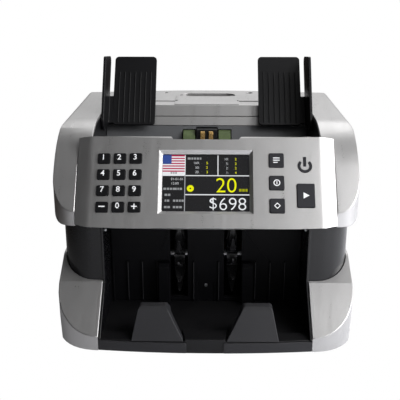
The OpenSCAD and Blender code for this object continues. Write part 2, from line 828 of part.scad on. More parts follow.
module base_tray() color(black) {
    half = stacker_w / 2 + cheek_t;
    inset = cover_t + cover_gap;
    difference() {
        union() {
            base_solid(inset, foot_h, band_z);
            intersection() {
                base_solid(lip_t, foot_h, ledge_z + 2);
                block([-half, -case_d, 0], [half, ledge_y, ledge_z + 2]);
            }
        }
        // Stacker floor behind the ledge
        block([-half, ledge_y, floor_z], [half, stacker_y + wall + seat, band_z + cut]);
        // Ledge with a higher middle
        ledge_cut();
        mirror([1, 0, 0]) ledge_cut();
        // Well for the mechanism
        intersection() {
            base_solid(inset + wall, well_z, band_z + cut);
            block([-body_w / 2, stacker_y + 2 * wall, 0], [body_w / 2, case_d, band_z + cut]);
        }
        both_sides() intersection() {
            base_solid(inset + wall, well_z, band_z + cut);
            block([half + 1, body_front_y, 0], [body_w / 2, case_d, band_z + cut]);
        }
        // Hollow underside
        base_solid(inset + wall + lip_t, 0, well_z - wall);
    }
    for (p = FEET) translate([p.x, p.y, foot_h]) cylinder(h = well_z - foot_h - 1, r = foot_r + 1.5);
    for (x = SUPPLY_X, y = SUPPLY_Y) translate([x, y, well_z - 1])
        cylinder(h = supply_z - well_z + 1, r = 3.5);
}

// Lowers the ledge beside its raised middle, along the slanted ends of the stop strips
module ledge_cut() {
    translate([0, 0, ledge_z])
        linear_extrude(10) polygon([
            [strip_in, front_y - 10], [strip_in + 2, front_y - 10], [cover_w, front_y - 10],
            [cover_w, front_y + ledge_l + 10],
            [strip_in + 6, front_y + ledge_l + 10]
        ]);
}

FEET = [for (x = [-96, 96], y = [front_y + 38, rear_wall_y - 28]) [x, y]];
SUPPLY_X = [16, 94];
SUPPLY_Y = [motor_axis.x - 34, motor_axis.x + 16];
supply_z = well_z + 6;
strip_in = 15;

module rubber_feet() color([0.1, 0.1, 0.1])
    for (p = FEET) translate([p.x, p.y, 0]) rotate_extrude()
        polygon(rounded([[0, 0, 0], [foot_r - 0.6, 0, 1], [foot_r, foot_h, 0], [0, foot_h, 0]]));

// Note stop with the strip that carries it, right-hand side
module tray_stop() {
    lean = tan(stop_lean);
    top = ledge_z + stop_h;
    y0 = front_y + 1.5;
    mid = strip_in + 3 + stop_foot_w / 2;
    difference() {
        intersection() {
            base_solid(0, foot_h + 0.5, ledge_z - 1);
            union() {
                linear_extrude(deck_z) polygon([
                    [strip_in - 1, front_y - 10], [strip_in + 3.4, front_y + 20],
                    [cover_x - 0.2, front_y + 20], [cover_x - 0.2, front_y - 10]
                ]);
            }
        }
        base_solid(lip_t, 0, ledge_z);
    }
    intersection() {
        from_x(strip_in, cover_x, rounded([
            [y0, ledge_z, 0], [y0 + lean * (stop_h - 2), top - 2, 3], [y0 + lean * stop_h + 2, top, 2],
            [y0 + lean * stop_h + 10, top, 2], [y0 + lean * stop_h + 10, top - 5, 1],
            [y0 + lean * stop_h + 4, top - 6, 1],
            [y0 + 6, ledge_z, 0]
        ]));
        along_y(-case_d, 0, rounded([
            [mid - stop_foot_w / 2, ledge_z, 0], [mid + stop_foot_w / 2, ledge_z, 0],
            [mid + 5 + stop_top_w / 2, top, 4], [mid + 5 - stop_top_w / 2, top, 4]
        ]));
    }
}

module tray_stop_right() color(grey) tray_stop();

module tray_stop_left() color(grey) mirror([1, 0, 0]) tray_stop();

module stacker_back() color(black) {
    half = stacker_w / 2 - seat;
    top = ceiling_z - wall - seat;
    foot = floor_z + seat;
    rib_z = 51.5;
    difference() {
        union() {
            block([-half, stacker_y, foot], [half, stacker_y + wall, top]);
            for (x = [11.7, 45.9, 59.5, 73, 86.7]) both_sides()
                block([x - 0.7, stacker_y - 1.5, foot], [x + 0.7, stacker_y + 1, rib_z]);
            both_sides() from_x(33.6, 43.8, [
                [stacker_y + 1, foot], [stacker_y - 9, foot], [stacker_y - 9, rib_z - 3],
                [stacker_y - 6, rib_z],
                [stacker_y + 1, rib_z]
            ]);
        }
        both_sides() block([vane_x - vane_w / 2 - 3, stacker_y - 2, foot + 4],
            [vane_x + vane_w / 2 + 3, stacker_y + wall + cut, 86]);
        block([-7.5, stacker_y - 2, foot + 0.5], [7.5, stacker_y + 0.6, foot + 20]);
        // The pillars are hollow behind
        both_sides() block([35.6, stacker_y - 7, foot - cut], [41.8, stacker_y + wall + cut, rib_z - 5]);
    }
}

// Frame and shafts

// Outline of a steel side frame, worked out from the shafts it carries
function frame_outline() =
    let (r = bearing_r + 6)
    rounded([
        [stacker_axis.x - r, well_z, 3], [motor_axis.x + r + 8, well_z, 3],
        [motor_axis.x + r + 8, motor_axis.y + 22, 12],
        [pickup_axis.x + r + 4, feed_axis.y, 20], [pickup_axis.x + r, pickup_axis.y + r, 12],
        [pickup_axis.x - r, pickup_axis.y + r, 6], [retard_axis.x - r - 4, retard_axis.y + r, 14],
        [stacker_axis.x - r, stacker_axis.y + r + 6, 14]
    ]);

SHAFTS = [pickup_axis, feed_axis, retard_axis, stacker_axis];

module side_frame(side) {
    mirror([side > 0 ? 0 : 1, 0, 0]) difference() {
        union() {
            from_x(frame_x, frame_x + frame_t, frame_outline());
            block([frame_x - 10, stacker_axis.x - 8, well_z], [frame_x, motor_axis.x + 20, well_z + frame_t]);
        }
        for (a = SHAFTS) rod(a, frame_x - cut, frame_x + frame_t + cut, bearing_r);
        if (side < 0) rod(motor_axis, frame_x - cut, frame_x + frame_t + cut, bearing_r);
        rod([20, 62], frame_x - cut, frame_x + frame_t + cut, 14);
        rod([56, 82], frame_x - cut, frame_x + frame_t + cut, 8);
    }
}

module side_frame_right() color(steel) side_frame(1);

module side_frame_left() color(steel) side_frame(-1);

module ring(axis, x0, x1, r_out, r_in) {
    difference() {
        rod(axis, x0, x1, r_out);
        rod(axis, x0 - cut, x1 + cut, r_in);
    }
}

module shaft_bearings() color(steel)
    for (a = SHAFTS) both_sides() {
        ring(a, frame_x - 1.2, frame_x + frame_t + 0.8, bearing_r, shaft_r + run_gap);
        ring(a, frame_x - 2, frame_x - 1.2, bearing_r - 1, shaft_r + run_gap);
    }

module roller(axis, x, w, r, hub) {
    ring(axis, x - w / 2, x + w / 2, r, hub);
}

module pulley(axis, x0, r) {
    rod(axis, x0, x0 + belt_w, r);
}

shaft_end = frame_x + frame_t + 1;

module pickup_shaft() color(steel) {
    rod(pickup_axis, -shaft_end, belt_x, shaft_r);
    pulley(pickup_axis, belt_x, pickup_pulley_r);
}

module pickup_rollers() color([0.45, 0.57, 0.33])
    for (x = [-roller_x, roller_x]) roller(pickup_axis, x, roller_w, pickup_r, shaft_r);

module feed_shaft() color(steel) {
    rod(feed_axis, -belt_x, belt_x, shaft_r);
    pulley(feed_axis, belt_x, pickup_pulley_r);
    pulley(feed_axis, -belt_x - belt_w, feed_pulley_r);
}

module feed_rollers() color([0.45, 0.57, 0.33])
    for (x = [-3.2, -1, 1, 3.2]) roller(feed_axis, x * roller_x, roller_w, feed_r, shaft_r);

module retard_roller() color(grey) {
    rod(retard_axis, -shaft_end, shaft_end, shaft_r);
    for (x = [-roller_x, roller_x]) roller(retard_axis, x, roller_w, retard_r, shaft_r);
}

module stacker_shaft() color(steel) {
    rod(stacker_axis, -belt_x - belt_step, shaft_end, shaft_r);
    pulley(stacker_axis, -belt_x - belt_step - belt_w, stacker_pulley_r);
}

// Wheel with curved vanes that run out to a point, drawn in the plane of y and z
module vaned_wheel(x, turn) {
    arc_r = vane_r * 0.72;
    half = vane_w / 2;
    tip = vane_tip_w / 2;
    translate([x, stacker_axis.x, stacker_axis.y]) rotate([90, 0, 90]) rotate(turn) intersection() {
        translate([0, 0, -half]) linear_extrude(vane_w) {
            difference() {
                circle(r = vane_hub_r);
                circle(r = shaft_r);
            }
            for (i = [0:vane_n - 1]) rotate(i * 360 / vane_n) intersection() {
                circle(r = vane_r);
                translate([vane_hub_r - 1.5, -arc_r]) difference() {
                    circle(r = arc_r);
                    translate([-0.9, -0.9]) circle(r = arc_r - 0.4);
                    translate([-2 * arc_r, -2 * arc_r]) square([4 * arc_r, 2 * arc_r]);
                    translate([-2 * arc_r, -cut]) square([2 * arc_r, 2 * arc_r]);
                }
            }
        }
        rotate_extrude() polygon([
            [0, -half], [vane_hub_r + 3, -half], [vane_r + 1, -tip], [vane_r + 1, tip],
            [vane_hub_r + 3, half], [0, half]
        ]);
    }
}

module stacker_wheels() color(black)
    for (i = [0, 1]) vaned_wheel([-vane_x, vane_x][i], vane_turn[i]);

// Drive

module drive_motor() color([0.35, 0.35, 0.37]) difference() {
    union() {
        rod(motor_axis, seat - frame_x, motor_l - frame_x, motor_r);
        rod(motor_axis, -frame_x - frame_t, motor_l - frame_x - 2, bearing_r - run_gap);
        rod(motor_axis, motor_l - frame_x, motor_l - frame_x + 3, 8);
        block([-frame_x + 12, motor_axis.x - 14, well_z],
            [motor_l - frame_x - 12, motor_axis.x + 14, motor_axis.y - motor_r + 4]);
    }
    rod(motor_axis, -frame_x - frame_t - cut, 12 - frame_x, 3 + run_gap);
}

module motor_pulley() color(steel) {
    rod(motor_axis, -belt_x, 10 - frame_x, 3);
    rod(motor_axis, -belt_x - belt_step - belt_w, -belt_x, motor_pulley_r);
}

// Outline round two pulleys
module belt_line(a, ra, b, rb) {
    d = norm(b - a);
    dir = unit(b - a);
    side = [-dir.y, dir.x];
    c = (ra - rb) / d;
    s = sqrt(1 - c * c);
    union() {
        translate(a) circle(r = ra);
        translate(b) circle(r = rb);
        polygon([a + ra * (c * dir + s * side), b + rb * (c * dir + s * side),
            b + rb * (c * dir - s * side), a + ra * (c * dir - s * side)]);
    }
}

module belt(x, a, ra, b, rb) {
    gap = 0.3;
    translate([x, 0, 0]) rotate([90, 0, 90]) linear_extrude(belt_w) difference() {
        belt_line(a, ra + gap + belt_t, b, rb + gap + belt_t);
        belt_line(a, ra + gap, b, rb + gap);
    }
}

module drive_belts() color(black) {
    belt(belt_x, feed_axis, pickup_pulley_r, pickup_axis, pickup_pulley_r);
    belt(-belt_x - belt_w, motor_axis, motor_pulley_r, feed_axis, feed_pulley_r);
    belt(-belt_x - belt_step - belt_w, motor_axis, motor_pulley_r, stacker_axis, stacker_pulley_r);
}

module image_sensors() color(grey) {
    gap_y = feed_axis.x - feed_r;
    half = frame_x;
    along_x(2 * half, rounded([
        [gap_y - 17, retard_axis.y - 26, 2], [gap_y - 2, retard_axis.y - 26, 1],
        [gap_y - 2, retard_axis.y - 12, 1],
        [gap_y - 17, retard_axis.y - 12, 2]
    ]));
    along_x(2 * half, rounded([
        [gap_y + 2, feed_axis.y - 32, 1], [gap_y + 17, feed_axis.y - 32, 2],
        [gap_y + 17, feed_axis.y - 18, 2],
        [gap_y + 2, feed_axis.y - 18, 1]
    ]));
}

module note_chute() color(black) {
    y = feed_axis.x - feed_r + 2.5;
    top = feed_axis.y - 33;
    bend = top - 18;
    foot = bend - 15;
    along_x(2 * frame_x, [[y, top], [y + 2, top], [y + 2, bend], [y - 5, foot], [y - 7, foot + 0.6],
        [y, bend + 0.4]]);
}

module main_board() color([0.1, 0.35, 0.2]) {
    x = frame_x + frame_t + 3;
    block([x, stacker_axis.x - 6, well_z + 10], [x + board_t, motor_axis.x + 10, feed_axis.y - 22]);
    for (y = [stacker_axis.x + 18, motor_axis.x], z = [well_z + 14, stacker_axis.y + 4])
        rod([y, z], frame_x + frame_t, x + board_t / 2, 2.5);
    chip_z = well_z + 17;
    chip = 14;
    for (y = [10, 34, 60]) block([x + board_t / 2, y, chip_z], [x + board_t + 2, y + chip, chip_z + chip]);
}

module power_board() color([0.55, 0.45, 0.2]) {
    x0 = SUPPLY_X[0] - 6;
    x1 = SUPPLY_X[1] + 6;
    y0 = SUPPLY_Y[0] - 6;
    block([x0, y0, supply_z], [x1, SUPPLY_Y[1] + 6, supply_z + board_t]);
    block([x0 + 6, y0 + 16, supply_z + 1], [x0 + 42, y0 + 48, supply_z + 30]);
    for (i = [0:2]) translate([x0 + 54 + 13 * i, y0 + 26, supply_z + 1]) cylinder(h = 24, r = 5);
}

// Note guides

function inv(a) = tan(a) * 180 / PI - a;

// Involute tooth flank of the pinion, from root to tip: [radius, angle from the tooth's middle]
function flank(z, m) =
    let (
        r = z * m / 2, rb = r * cos(20), tip = r + 0.95 * m,
        half = 90 / z - 0.1 / r * 180 / PI
    )
    concat([[r - 1.25 * m, half + inv(20)]], [for (i = [0:5])
        let (q = rb + (tip - rb) * i / 5) [q, half + inv(20) - inv(acos(rb / q))]]);

module pinion_shape(z, m) {
    f = flank(z, m);
    polygon([for (i = [0:z - 1]) let (mid = i * 360 / z)
        each concat(
            [for (p = f) p.x * [cos(mid - p.y), sin(mid - p.y)]],
            [for (j = [len(f) - 1:-1:0]) f[j].x * [cos(mid + f[j].y), sin(mid + f[j].y)]])
    ]);
}

module rack_pinion() color([0.85, 0.85, 0.8]) difference() {
    translate([0, slot_y, rack_z]) rotate(90) linear_extrude(rack_h) pinion_shape(pinion_teeth, rack_module);
    translate([0, slot_y, rack_z - cut]) cylinder(h = rack_h + 2 * cut, r = 2 + run_gap);
}

// Toothed bar behind the pinion, with the foot that joins it to its guide's arm
module guide_rack() {
    n = ceil((guide_travel + 10) / rack_pitch);
    m = rack_module;
    y = slot_y + pinion_r;
    half = rack_pitch / 4 - 0.1;
    wide = half + 1.2 * m * tan(20);
    slim = half - 0.95 * m * tan(20);
    root = y + 1.2 * m;
    tip = y - 0.95 * m;
    translate([0, 0, rack_z]) linear_extrude(rack_h) {
        polygon(concat(
            [[-arm_x - arm_w, root], [-arm_x - arm_w, root + rack_w], [2 * rack_pitch, root + rack_w],
            [2 * rack_pitch, root]],
            [for (i = [0:n]) let (x = (1.5 - i) * rack_pitch) each [
                [x + wide, root], [x + slim, tip], [x - slim, tip], [x - wide, root]]]));
        translate([-arm_x - arm_w, slot_y - arm_t / 2]) square([arm_w, root - slot_y + arm_t]);
    }
}

// Ribbed plate, side plate and arm of the right-hand guide
module guide_body() {
    back = guide_foot + guide_out_dir * guide_t;
    top = guide_foot + guide_dir * guide_l;
    web_z = 196;
    out0 = guide_out - guide_t;
    in1 = guide_in + guide_plate_w;
    plate = [guide_foot, top, top + guide_out_dir * guide_t, back];
    rib = [for (p = [guide_foot + guide_dir * 2.5, top - guide_dir * 17.5]) p - guide_out_dir * 0.6];
    slot_foot = guide_dir * 31;
    intersection() {
        from_x(guide_in, in1, plate);
        translate([guide_in + guide_plate_w / 2, guide_foot.x, guide_foot.y]) rotate([90 - guide_lean, 0, 0])
            translate([0, guide_l / 2, -10]) linear_extrude(20)
                polygon(box_outline(guide_plate_w, guide_l, 4));
    }
    for (i = [1:7]) let (x = guide_in + i * guide_plate_w / 8)
        from_x(x - 0.4, x + 0.4, [rib[0], rib[1], rib[1] + guide_out_dir, rib[0] + guide_out_dir]);
    // Bridge to the side plate, below the slot
    from_x(in1 - 5, out0 + 1, [
        guide_foot + guide_dir * 2, guide_foot + slot_foot, back + slot_foot, back + guide_dir * 2
    ]);
    from_x(out0, guide_out, rounded([
        [guide_foot.x - 29, deck_z - 12, 5], [guide_foot.x - 29, deck_z - 4, 6],
        [guide_foot.x + 6, deck_z + 51, 4],
        [guide_foot.x + 43.8, top.y + 0.4, 5], [guide_foot.x + 3, deck_z - 16.5, 3],
        [guide_foot.x - 20, deck_z - 16.5, 6]
    ]));
    // Arm through the deck's slot
    from_x(arm_x, arm_x + arm_w, [
        back + guide_dir * 27 - guide_out_dir, [slot_y - arm_t / 2, deck_z + 6.5],
        [slot_y - arm_t / 2, rack_z],
        [slot_y + arm_t / 2, rack_z], [slot_y + arm_t / 2, deck_z + 19], back + guide_dir * 52 - guide_out_dir
    ]);
}

module note_guide_right() color(black) {
    guide_body();
    translate([0, 2 * slot_y, 0]) rotate(180) guide_rack();
}

module note_guide_left() color(black) {
    mirror([1, 0, 0]) guide_body();
    guide_rack();
}

// Shelf that carries the racks and the pinion's pin, hung from the deck
module rack_guide() color(grey) {
    top = deck_z - wall;
    reach = 18.5;
    y0 = slot_y - reach;
    y1 = slot_y + reach;
    post = 4;
    post_x = rail_x - post;
    difference() {
        up(rail_z, rack_z - seat, [[-rail_x, y0], [rail_x, y0], [rail_x, y1], [-rail_x, y1]]);
        both_sides() block([slot_in - 1, slot_y - 6, rail_z - cut],
            [arm_x + arm_w + 2.4, slot_y + 6, rack_z]);
    }
    for (x = [-post_x, post_x], y = [y0 + post, y1 - post]) translate([x, y, rail_z])
        cylinder(h = top - rail_z, r = 3);
    translate([0, slot_y, rail_z]) cylinder(h = rack_z + rack_h + 0.5 - rail_z, r = 2);
}

// Rear

module rear_door() color(black) {
    half = door_w / 2;
    y1 = body_back_y;
    y0 = y1 - wall;
    difference() {
        union() {
            from_x(-half, half, [[y0 + 0.2, hinge_axis.y], [y1, hinge_axis.y], [y1, door_z + door_h],
                [y0 + 0.2, door_z + door_h]]);
            rod(hinge_axis, -half, half, bead_r);
            both_sides() rod(hinge_axis, half - cut, half + door_gap + lug_w - 0.5, pip_r);
            for (x = [-60, -20, 20, 60]) block([x - 1, y0 - 3, hinge_axis.y + 6],
                [x + 1, y0 + 1, door_z + door_h - 4]);
            block([-18, y0 - 2, door_z + door_h - 14], [18, y0 + 1, door_z + door_h - 1]);
        }
        // Finger recess
        block([-14, y1 - 3, door_z + door_h - 11], [14, y1 + cut, door_z + door_h + cut]);
    }
}

module power_inlet() color(black) difference() {
    y1 = body_back_y;
    union() {
        block([inlet_x - inlet_w / 2 + 1.4, y1 - 22, inlet_z - inlet_h / 2 + 1.4],
            [inlet_x + inlet_w / 2 - 1.4, y1 + 1, inlet_z + inlet_h / 2 - 1.4]);
        along_y(y1, y1 + 2, [for (p = box_outline(inlet_w + 4, inlet_h + 4, 3)) p + [inlet_x, inlet_z]]);
    }
    // Socket with three blades
    socket = [[-11.2, -8], [11.2, -8], [11.2, 3.5], [7.5, 8], [-7.5, 8], [-11.2, 3.5]];
    difference() {
        along_y(y1 - 16, y1 + 4, [for (p = socket) p + [socket_x, inlet_z]]);
        for (p = [[-7, -2], [0, 2], [7, -2]])
            block([socket_x + p.x - 1, y1 - 17, inlet_z + p.y - 2],
                [socket_x + p.x + 1, y1 - 3, inlet_z + p.y + 2]);
    }
    block([rocker_x - 5, y1 - 12, inlet_z - rocker_r - 0.5],
        [rocker_x + 5, y1 + 4, inlet_z + rocker_r + 0.5]);
    rod(rocker_axis, rocker_x - 6.5, rocker_x + 6.5, 1.05);
}

module power_rocker() color(grey)
    translate([rocker_x - 4.7, rocker_axis.x, rocker_axis.y]) rotate([90, 0, 90]) rotate(7) {
        linear_extrude(9.4) polygon([[-4, -6], [3, -9], [4.2, -9], [2.4, 0], [4.2, 9], [3, 9], [-4, 6]]);
        translate([0, 0, -1.5]) cylinder(h = 12.4, r = 1);
    }

// Keys by name

module key_1() key(PAD[0], key_w, key_h);
module key_2() key(PAD[1], key_w, key_h);
module key_3() key(PAD[2], key_w, key_h);
module key_4() key(PAD[3], key_w, key_h);
module key_5() key(PAD[4], key_w, key_h);
module key_6() key(PAD[5], key_w, key_h);
module key_7() key(PAD[6], key_w, key_h);
module key_8() key(PAD[7], key_w, key_h);
module key_9() key(PAD[8], key_w, key_h);
module key_special() key(PAD[9], key_w, key_h);
module key_0() key(PAD[10], key_w, key_h);
module key_add() key(PAD[11], key_w, key_h);
module key_mode() key(MODES[0], mode_key, mode_key);
module key_currency() key(MODES[1], mode_key, mode_key);
module key_check() key(MODES[2], mode_key, mode_key);
module key_start() key([start_x, start_u], start_w, start_h);

base_tray();
lower_body();
side_cover_left();
side_cover_right();
upper_shell();
front_panel();
display_window();
display_module();
key_mat();
key_board();
hopper_tub();
hopper_back();
throat_plate();
centre_block();
brass_forks();
stacker_back();
tray_stop_left();
tray_stop_right();
side_frame_left();
side_frame_right();
shaft_bearings();
main_board();
power_board();
drive_motor();
image_sensors();
note_chute();
rack_guide();
power_inlet();
rubber_feet();
drive_belts();
note_guide_left();
note_guide_right();
rack_pinion();
pickup_rollers();
pickup_shaft();
feed_rollers();
feed_shaft();
retard_roller();
stacker_wheels();
stacker_shaft();
motor_pulley();
rear_door();
power_rocker();
key_1();
key_2();
key_3();
key_4();
key_5();
key_6();
key_7();
key_8();
key_9();
key_0();
key_special();
key_add();
key_mode();
key_currency();
key_check();
key_start();
key_power();
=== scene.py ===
import json
import math
import bmesh
import bpy
from mathutils import Matrix, Vector

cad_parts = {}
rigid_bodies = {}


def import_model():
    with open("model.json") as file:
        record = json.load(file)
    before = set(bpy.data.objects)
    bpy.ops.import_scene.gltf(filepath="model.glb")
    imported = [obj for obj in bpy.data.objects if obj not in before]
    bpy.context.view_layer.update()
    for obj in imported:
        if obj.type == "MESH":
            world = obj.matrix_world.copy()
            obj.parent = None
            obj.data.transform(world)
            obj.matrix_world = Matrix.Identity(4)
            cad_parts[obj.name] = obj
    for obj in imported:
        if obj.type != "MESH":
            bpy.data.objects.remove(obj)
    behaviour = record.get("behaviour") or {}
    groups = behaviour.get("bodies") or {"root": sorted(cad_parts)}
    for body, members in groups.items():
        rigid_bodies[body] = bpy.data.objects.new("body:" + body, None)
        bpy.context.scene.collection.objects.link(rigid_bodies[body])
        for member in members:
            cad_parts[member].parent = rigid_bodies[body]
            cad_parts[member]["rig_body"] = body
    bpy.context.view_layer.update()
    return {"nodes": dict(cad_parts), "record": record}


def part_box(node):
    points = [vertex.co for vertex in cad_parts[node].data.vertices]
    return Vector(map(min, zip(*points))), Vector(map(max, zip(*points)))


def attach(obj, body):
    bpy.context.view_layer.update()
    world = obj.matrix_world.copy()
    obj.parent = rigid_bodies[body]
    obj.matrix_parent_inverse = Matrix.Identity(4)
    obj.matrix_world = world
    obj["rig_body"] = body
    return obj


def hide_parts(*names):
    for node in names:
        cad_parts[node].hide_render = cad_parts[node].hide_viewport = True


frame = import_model()
nodes = frame["nodes"]
slotOf = {part["node"]: part["material_slot"] for part in frame["record"]["subparts"]}
scene = bpy.context.scene
scene.view_settings.view_transform = "Standard"
mm = 0.001
print("frame loaded:", len(nodes), "nodes")


def linked(name, data):
    holder = bpy.data.objects.new(name, data)
    scene.collection.objects.link(holder)
    return holder


def plainMesh(holder):
    # an object with its modifiers applied, as a mesh of its own
    graph = bpy.context.evaluated_depsgraph_get()
    return bpy.data.meshes.new_from_object(holder.evaluated_get(graph))


def metres(sizes):
    return tuple(size * mm for size in sizes)


# camera, floor and light
view = {
    "place": (0.0043, -0.6625, 0.322), "pitch": -19.0, "turn": 0.91,
    "lens": 64.35, "sensor": 36, "nearest": 0.05,
}
light = {
    "room": {  # strengths at the left, at the right and of the backdrop, and the directions they change over
        "left": 0.02, "right": 0.95, "backdrop": 1.0,
        "across": (-0.22, 0.3), "behind": (0.55, 0.85), "above": (0.0, 0.25)},
    "floor": {
        "dark": (0.05, 0.043, 0.038, 1), "pale": (0.95, 0.96, 1.0, 1), "slant": 0.45, "span": (-0.35, 0.3),
        "glow": 0.3, "half": 6.0},
    "lamps": {
        "key": {"place": (0.75, -0.5, 0.75), "size": 0.7, "power": 9},
        "strip": {"place": (0.9, -0.35, 0.3), "size": 0.5, "power": 3},
        "rim": {"place": (0.1, 0.9, 1.1), "size": 1.0, "power": 4}},
    "aim": (0, 0, 0.1),
}
plainWhite = (1, 1, 1, 1)


class Wire:  # a socket that takes part in sums
    def __init__(self, graph, socket):
        self.graph = graph
        self.socket = socket

    def maths(self, operation, first, second):
        return self.graph.add("ShaderNodeMath", {"operation": operation}, {0: first, 1: second})

    def __add__(self, other):
        return self.maths("ADD", self, other)

    def __sub__(self, other):
        return self.maths("SUBTRACT", self, other)

    def __rsub__(self, other):
        return self.maths("SUBTRACT", other, self)

    def __mul__(self, other):
        return self.maths("MULTIPLY", self, other)

    __radd__ = __add__
    __rmul__ = __mul__


class Graph:  # a node tree under construction
    def __init__(self, tree):
        self.tree = tree

    def add(self, kind, settings=None, values=None, out=0):
        node = self.tree.nodes.new(kind)
        for key, value in (settings or {}).items():
            setattr(node, key, value)
        for key, value in (values or {}).items():
            if isinstance(value, Wire):
                self.tree.links.new(value.socket, node.inputs[key])
            else:
                node.inputs[key].default_value = value
        return Wire(self, node.outputs[out])

    def end(self, kind, result):
        self.tree.links.new(result.socket, self.tree.nodes.new(kind).inputs[0])


class Finish(Graph):  # the nodes of a material or of the world
    def __init__(self, name, world=None):
        self.owner = world or bpy.data.materials.new(name)
        self.owner.use_nodes = True
        super().__init__(self.owner.node_tree)
        self.tree.nodes.clear()

    def place(self):
        return self.add("ShaderNodeTexCoord", out="Object")

    def noise(self, scale, detail=2.0, rough=0.5, where=None):
        return self.add("ShaderNodeTexNoise", None, {
            "Vector": where or self.place(), "Scale": scale, "Detail": detail, "Roughness": rough})

    def stretched(self, scale):
        return self.add("ShaderNodeMapping", None, {"Vector": self.place(), "Scale": scale})

    def axis(self, vector, name):
        return self.add("ShaderNodeSeparateXYZ", None, {0: vector}, out=name)

    def spread(self, value, low, high, to0, to1):
        return self.add("ShaderNodeMapRange", None, {
            "Value": value, "From Min": low, "From Max": high, "To Min": to0, "To Max": to1})

    def waver(self, noise, low, high):
        # a noise lies mostly between 0.3 and 0.7
        return self.spread(noise, 0.3, 0.7, low, high)

    def blend(self, share, first, second):
        return self.add("ShaderNodeMix", {"data_type": "RGBA"}, {0: share, 6: first, 7: second}, out=2)

    def mottled(self, noise, colour, darkest, palest):
        return self.blend(self.waver(noise, 0.0, 1.0), rgba(colour, darkest), rgba(colour, palest))

    def bump(self, height, strength, distance):
        return self.add("ShaderNodeBump", None, {
            "Height": height, "Strength": strength, "Distance": distance})

    def surface(self, values):
        self.end("ShaderNodeOutputMaterial", self.add("ShaderNodeBsdfPrincipled", None, values))
        return self.owner


def rgba(colour, gain=1.0):
    return (colour[0] * gain, colour[1] * gain, colour[2] * gain, 1)


def makeCamera():
    camera = linked("camera", bpy.data.cameras.new("camera"))
    camera.data.lens = view["lens"]
    camera.data.sensor_width = view["sensor"]
    camera.data.clip_start = view["nearest"]
    camera.location = view["place"]
    camera.rotation_euler = (math.radians(90 + view["pitch"]), 0, math.radians(view["turn"]))
    scene.camera = camera


def makeFloor():
    # white to the camera; what the object mirrors is dark behind on the left and pale in front on the right
    look = light["floor"]
    finish = Finish("floor")
    seen = finish.add("ShaderNodeLightPath", out="Is Camera Ray")
    where = finish.place()
    x, y = (finish.axis(where, name) for name in "XY")
    share = finish.spread(x - y * look["slant"], *look["span"], 0.0, 1.0)
    tone = finish.blend(share, look["dark"], look["pale"])
    lit = finish.add("ShaderNodeBsdfDiffuse", None, {"Color": tone})
    shining = finish.add("ShaderNodeEmission", None, {"Color": tone, "Strength": look["glow"]})
    both = finish.add("ShaderNodeAddShader", None, {0: lit, 1: shining})
    plain = finish.add("ShaderNodeEmission", None, {"Color": plainWhite, "Strength": 1.0})
    mixed = finish.add("ShaderNodeMixShader", None, {0: seen, 1: both, 2: plain})
    finish.end("ShaderNodeOutputMaterial", mixed)
    half = look["half"]
    corners = [(-half, -half, 0), (half, -half, 0), (half, half, 0), (-half, half, 0)]
    mesh = bpy.data.meshes.new("floor")
    mesh.from_pydata(corners, [], [(0, 1, 2, 3)])
    mesh.materials.append(finish.owner)
    linked("floor", mesh)


def makeWorld():
    # a room that grows brighter to the right, with a pale backdrop behind; white to the camera
    room = light["room"]
    scene.world = bpy.data.worlds.new("studio")
    finish = Finish("studio", scene.world)
    seen = finish.add("ShaderNodeLightPath", out="Is Camera Ray")
    sky = finish.add("ShaderNodeTexCoord", out="Generated")
    x, y, z = (finish.axis(sky, name) for name in "XYZ")
    side = finish.spread(x, *room["across"], room["left"], room["right"])
    behind = finish.spread(y, *room["behind"], 0.0, 1.0) * finish.spread(z, *room["above"], 0.0, 1.0)
    strength = side + behind * (room["backdrop"] - side)
    soft = finish.add("ShaderNodeBackground", None, {"Strength": strength})
    plain = finish.add("ShaderNodeBackground", None, {"Color": plainWhite, "Strength": 1.0})
    mixed = finish.add("ShaderNodeMixShader", None, {0: seen, 1: soft, 2: plain})
    finish.end("ShaderNodeOutputWorld", mixed)


def makeLamp(name, place, size, power):
    lamp = linked(name, bpy.data.lights.new(name, "AREA"))
    lamp.data.shape = "DISK"
    lamp.data.size = size
    lamp.data.energy = power
    lamp.location = place
    lamp.rotation_euler = (Vector(light["aim"]) - Vector(place)).to_track_quat("-Z", "Y").to_euler()


makeCamera()
makeFloor()
makeWorld()
for lampName, lampValues in light["lamps"].items():
    makeLamp(lampName, **lampValues)
print("camera, floor and light ready")


# finishes
def mouldedPlastic(name, colour, roughness, grain, grainSize, mottle=0.06, metallic=0.0, dust=0.0, shine=0.3):
    # grain is the texture of the mould, mottle the slow change of shade over the piece
    finish = Finish(name)
    fine = finish.noise(1 / grainSize, detail=3.0)
    slow = finish.noise(18.0, detail=3.0)
    dark, pale = 1 - mottle, 1 + mottle
    base = finish.mottled(slow, colour, dark, pale)
    if dust:
        up = finish.axis(finish.add("ShaderNodeNewGeometry", out="Normal"), "Z")
        patches = finish.spread(finish.noise(60.0, detail=4.0), 0.35, 0.7, 0.3, 1.0)
        base = finish.blend(finish.spread(up, 0.6, 1.0, 0.0, dust) * patches, base, (0.5, 0.48, 0.45, 1))
    gloss = finish.waver(fine, roughness - 0.04, roughness + 0.04) * finish.waver(slow, dark, pale)
    return finish.surface({
        "Base Color": base, "Roughness": gloss, "Metallic": metallic, "Specular IOR Level": shine,
        "Normal": finish.bump(fine, grain, 0.0004)})


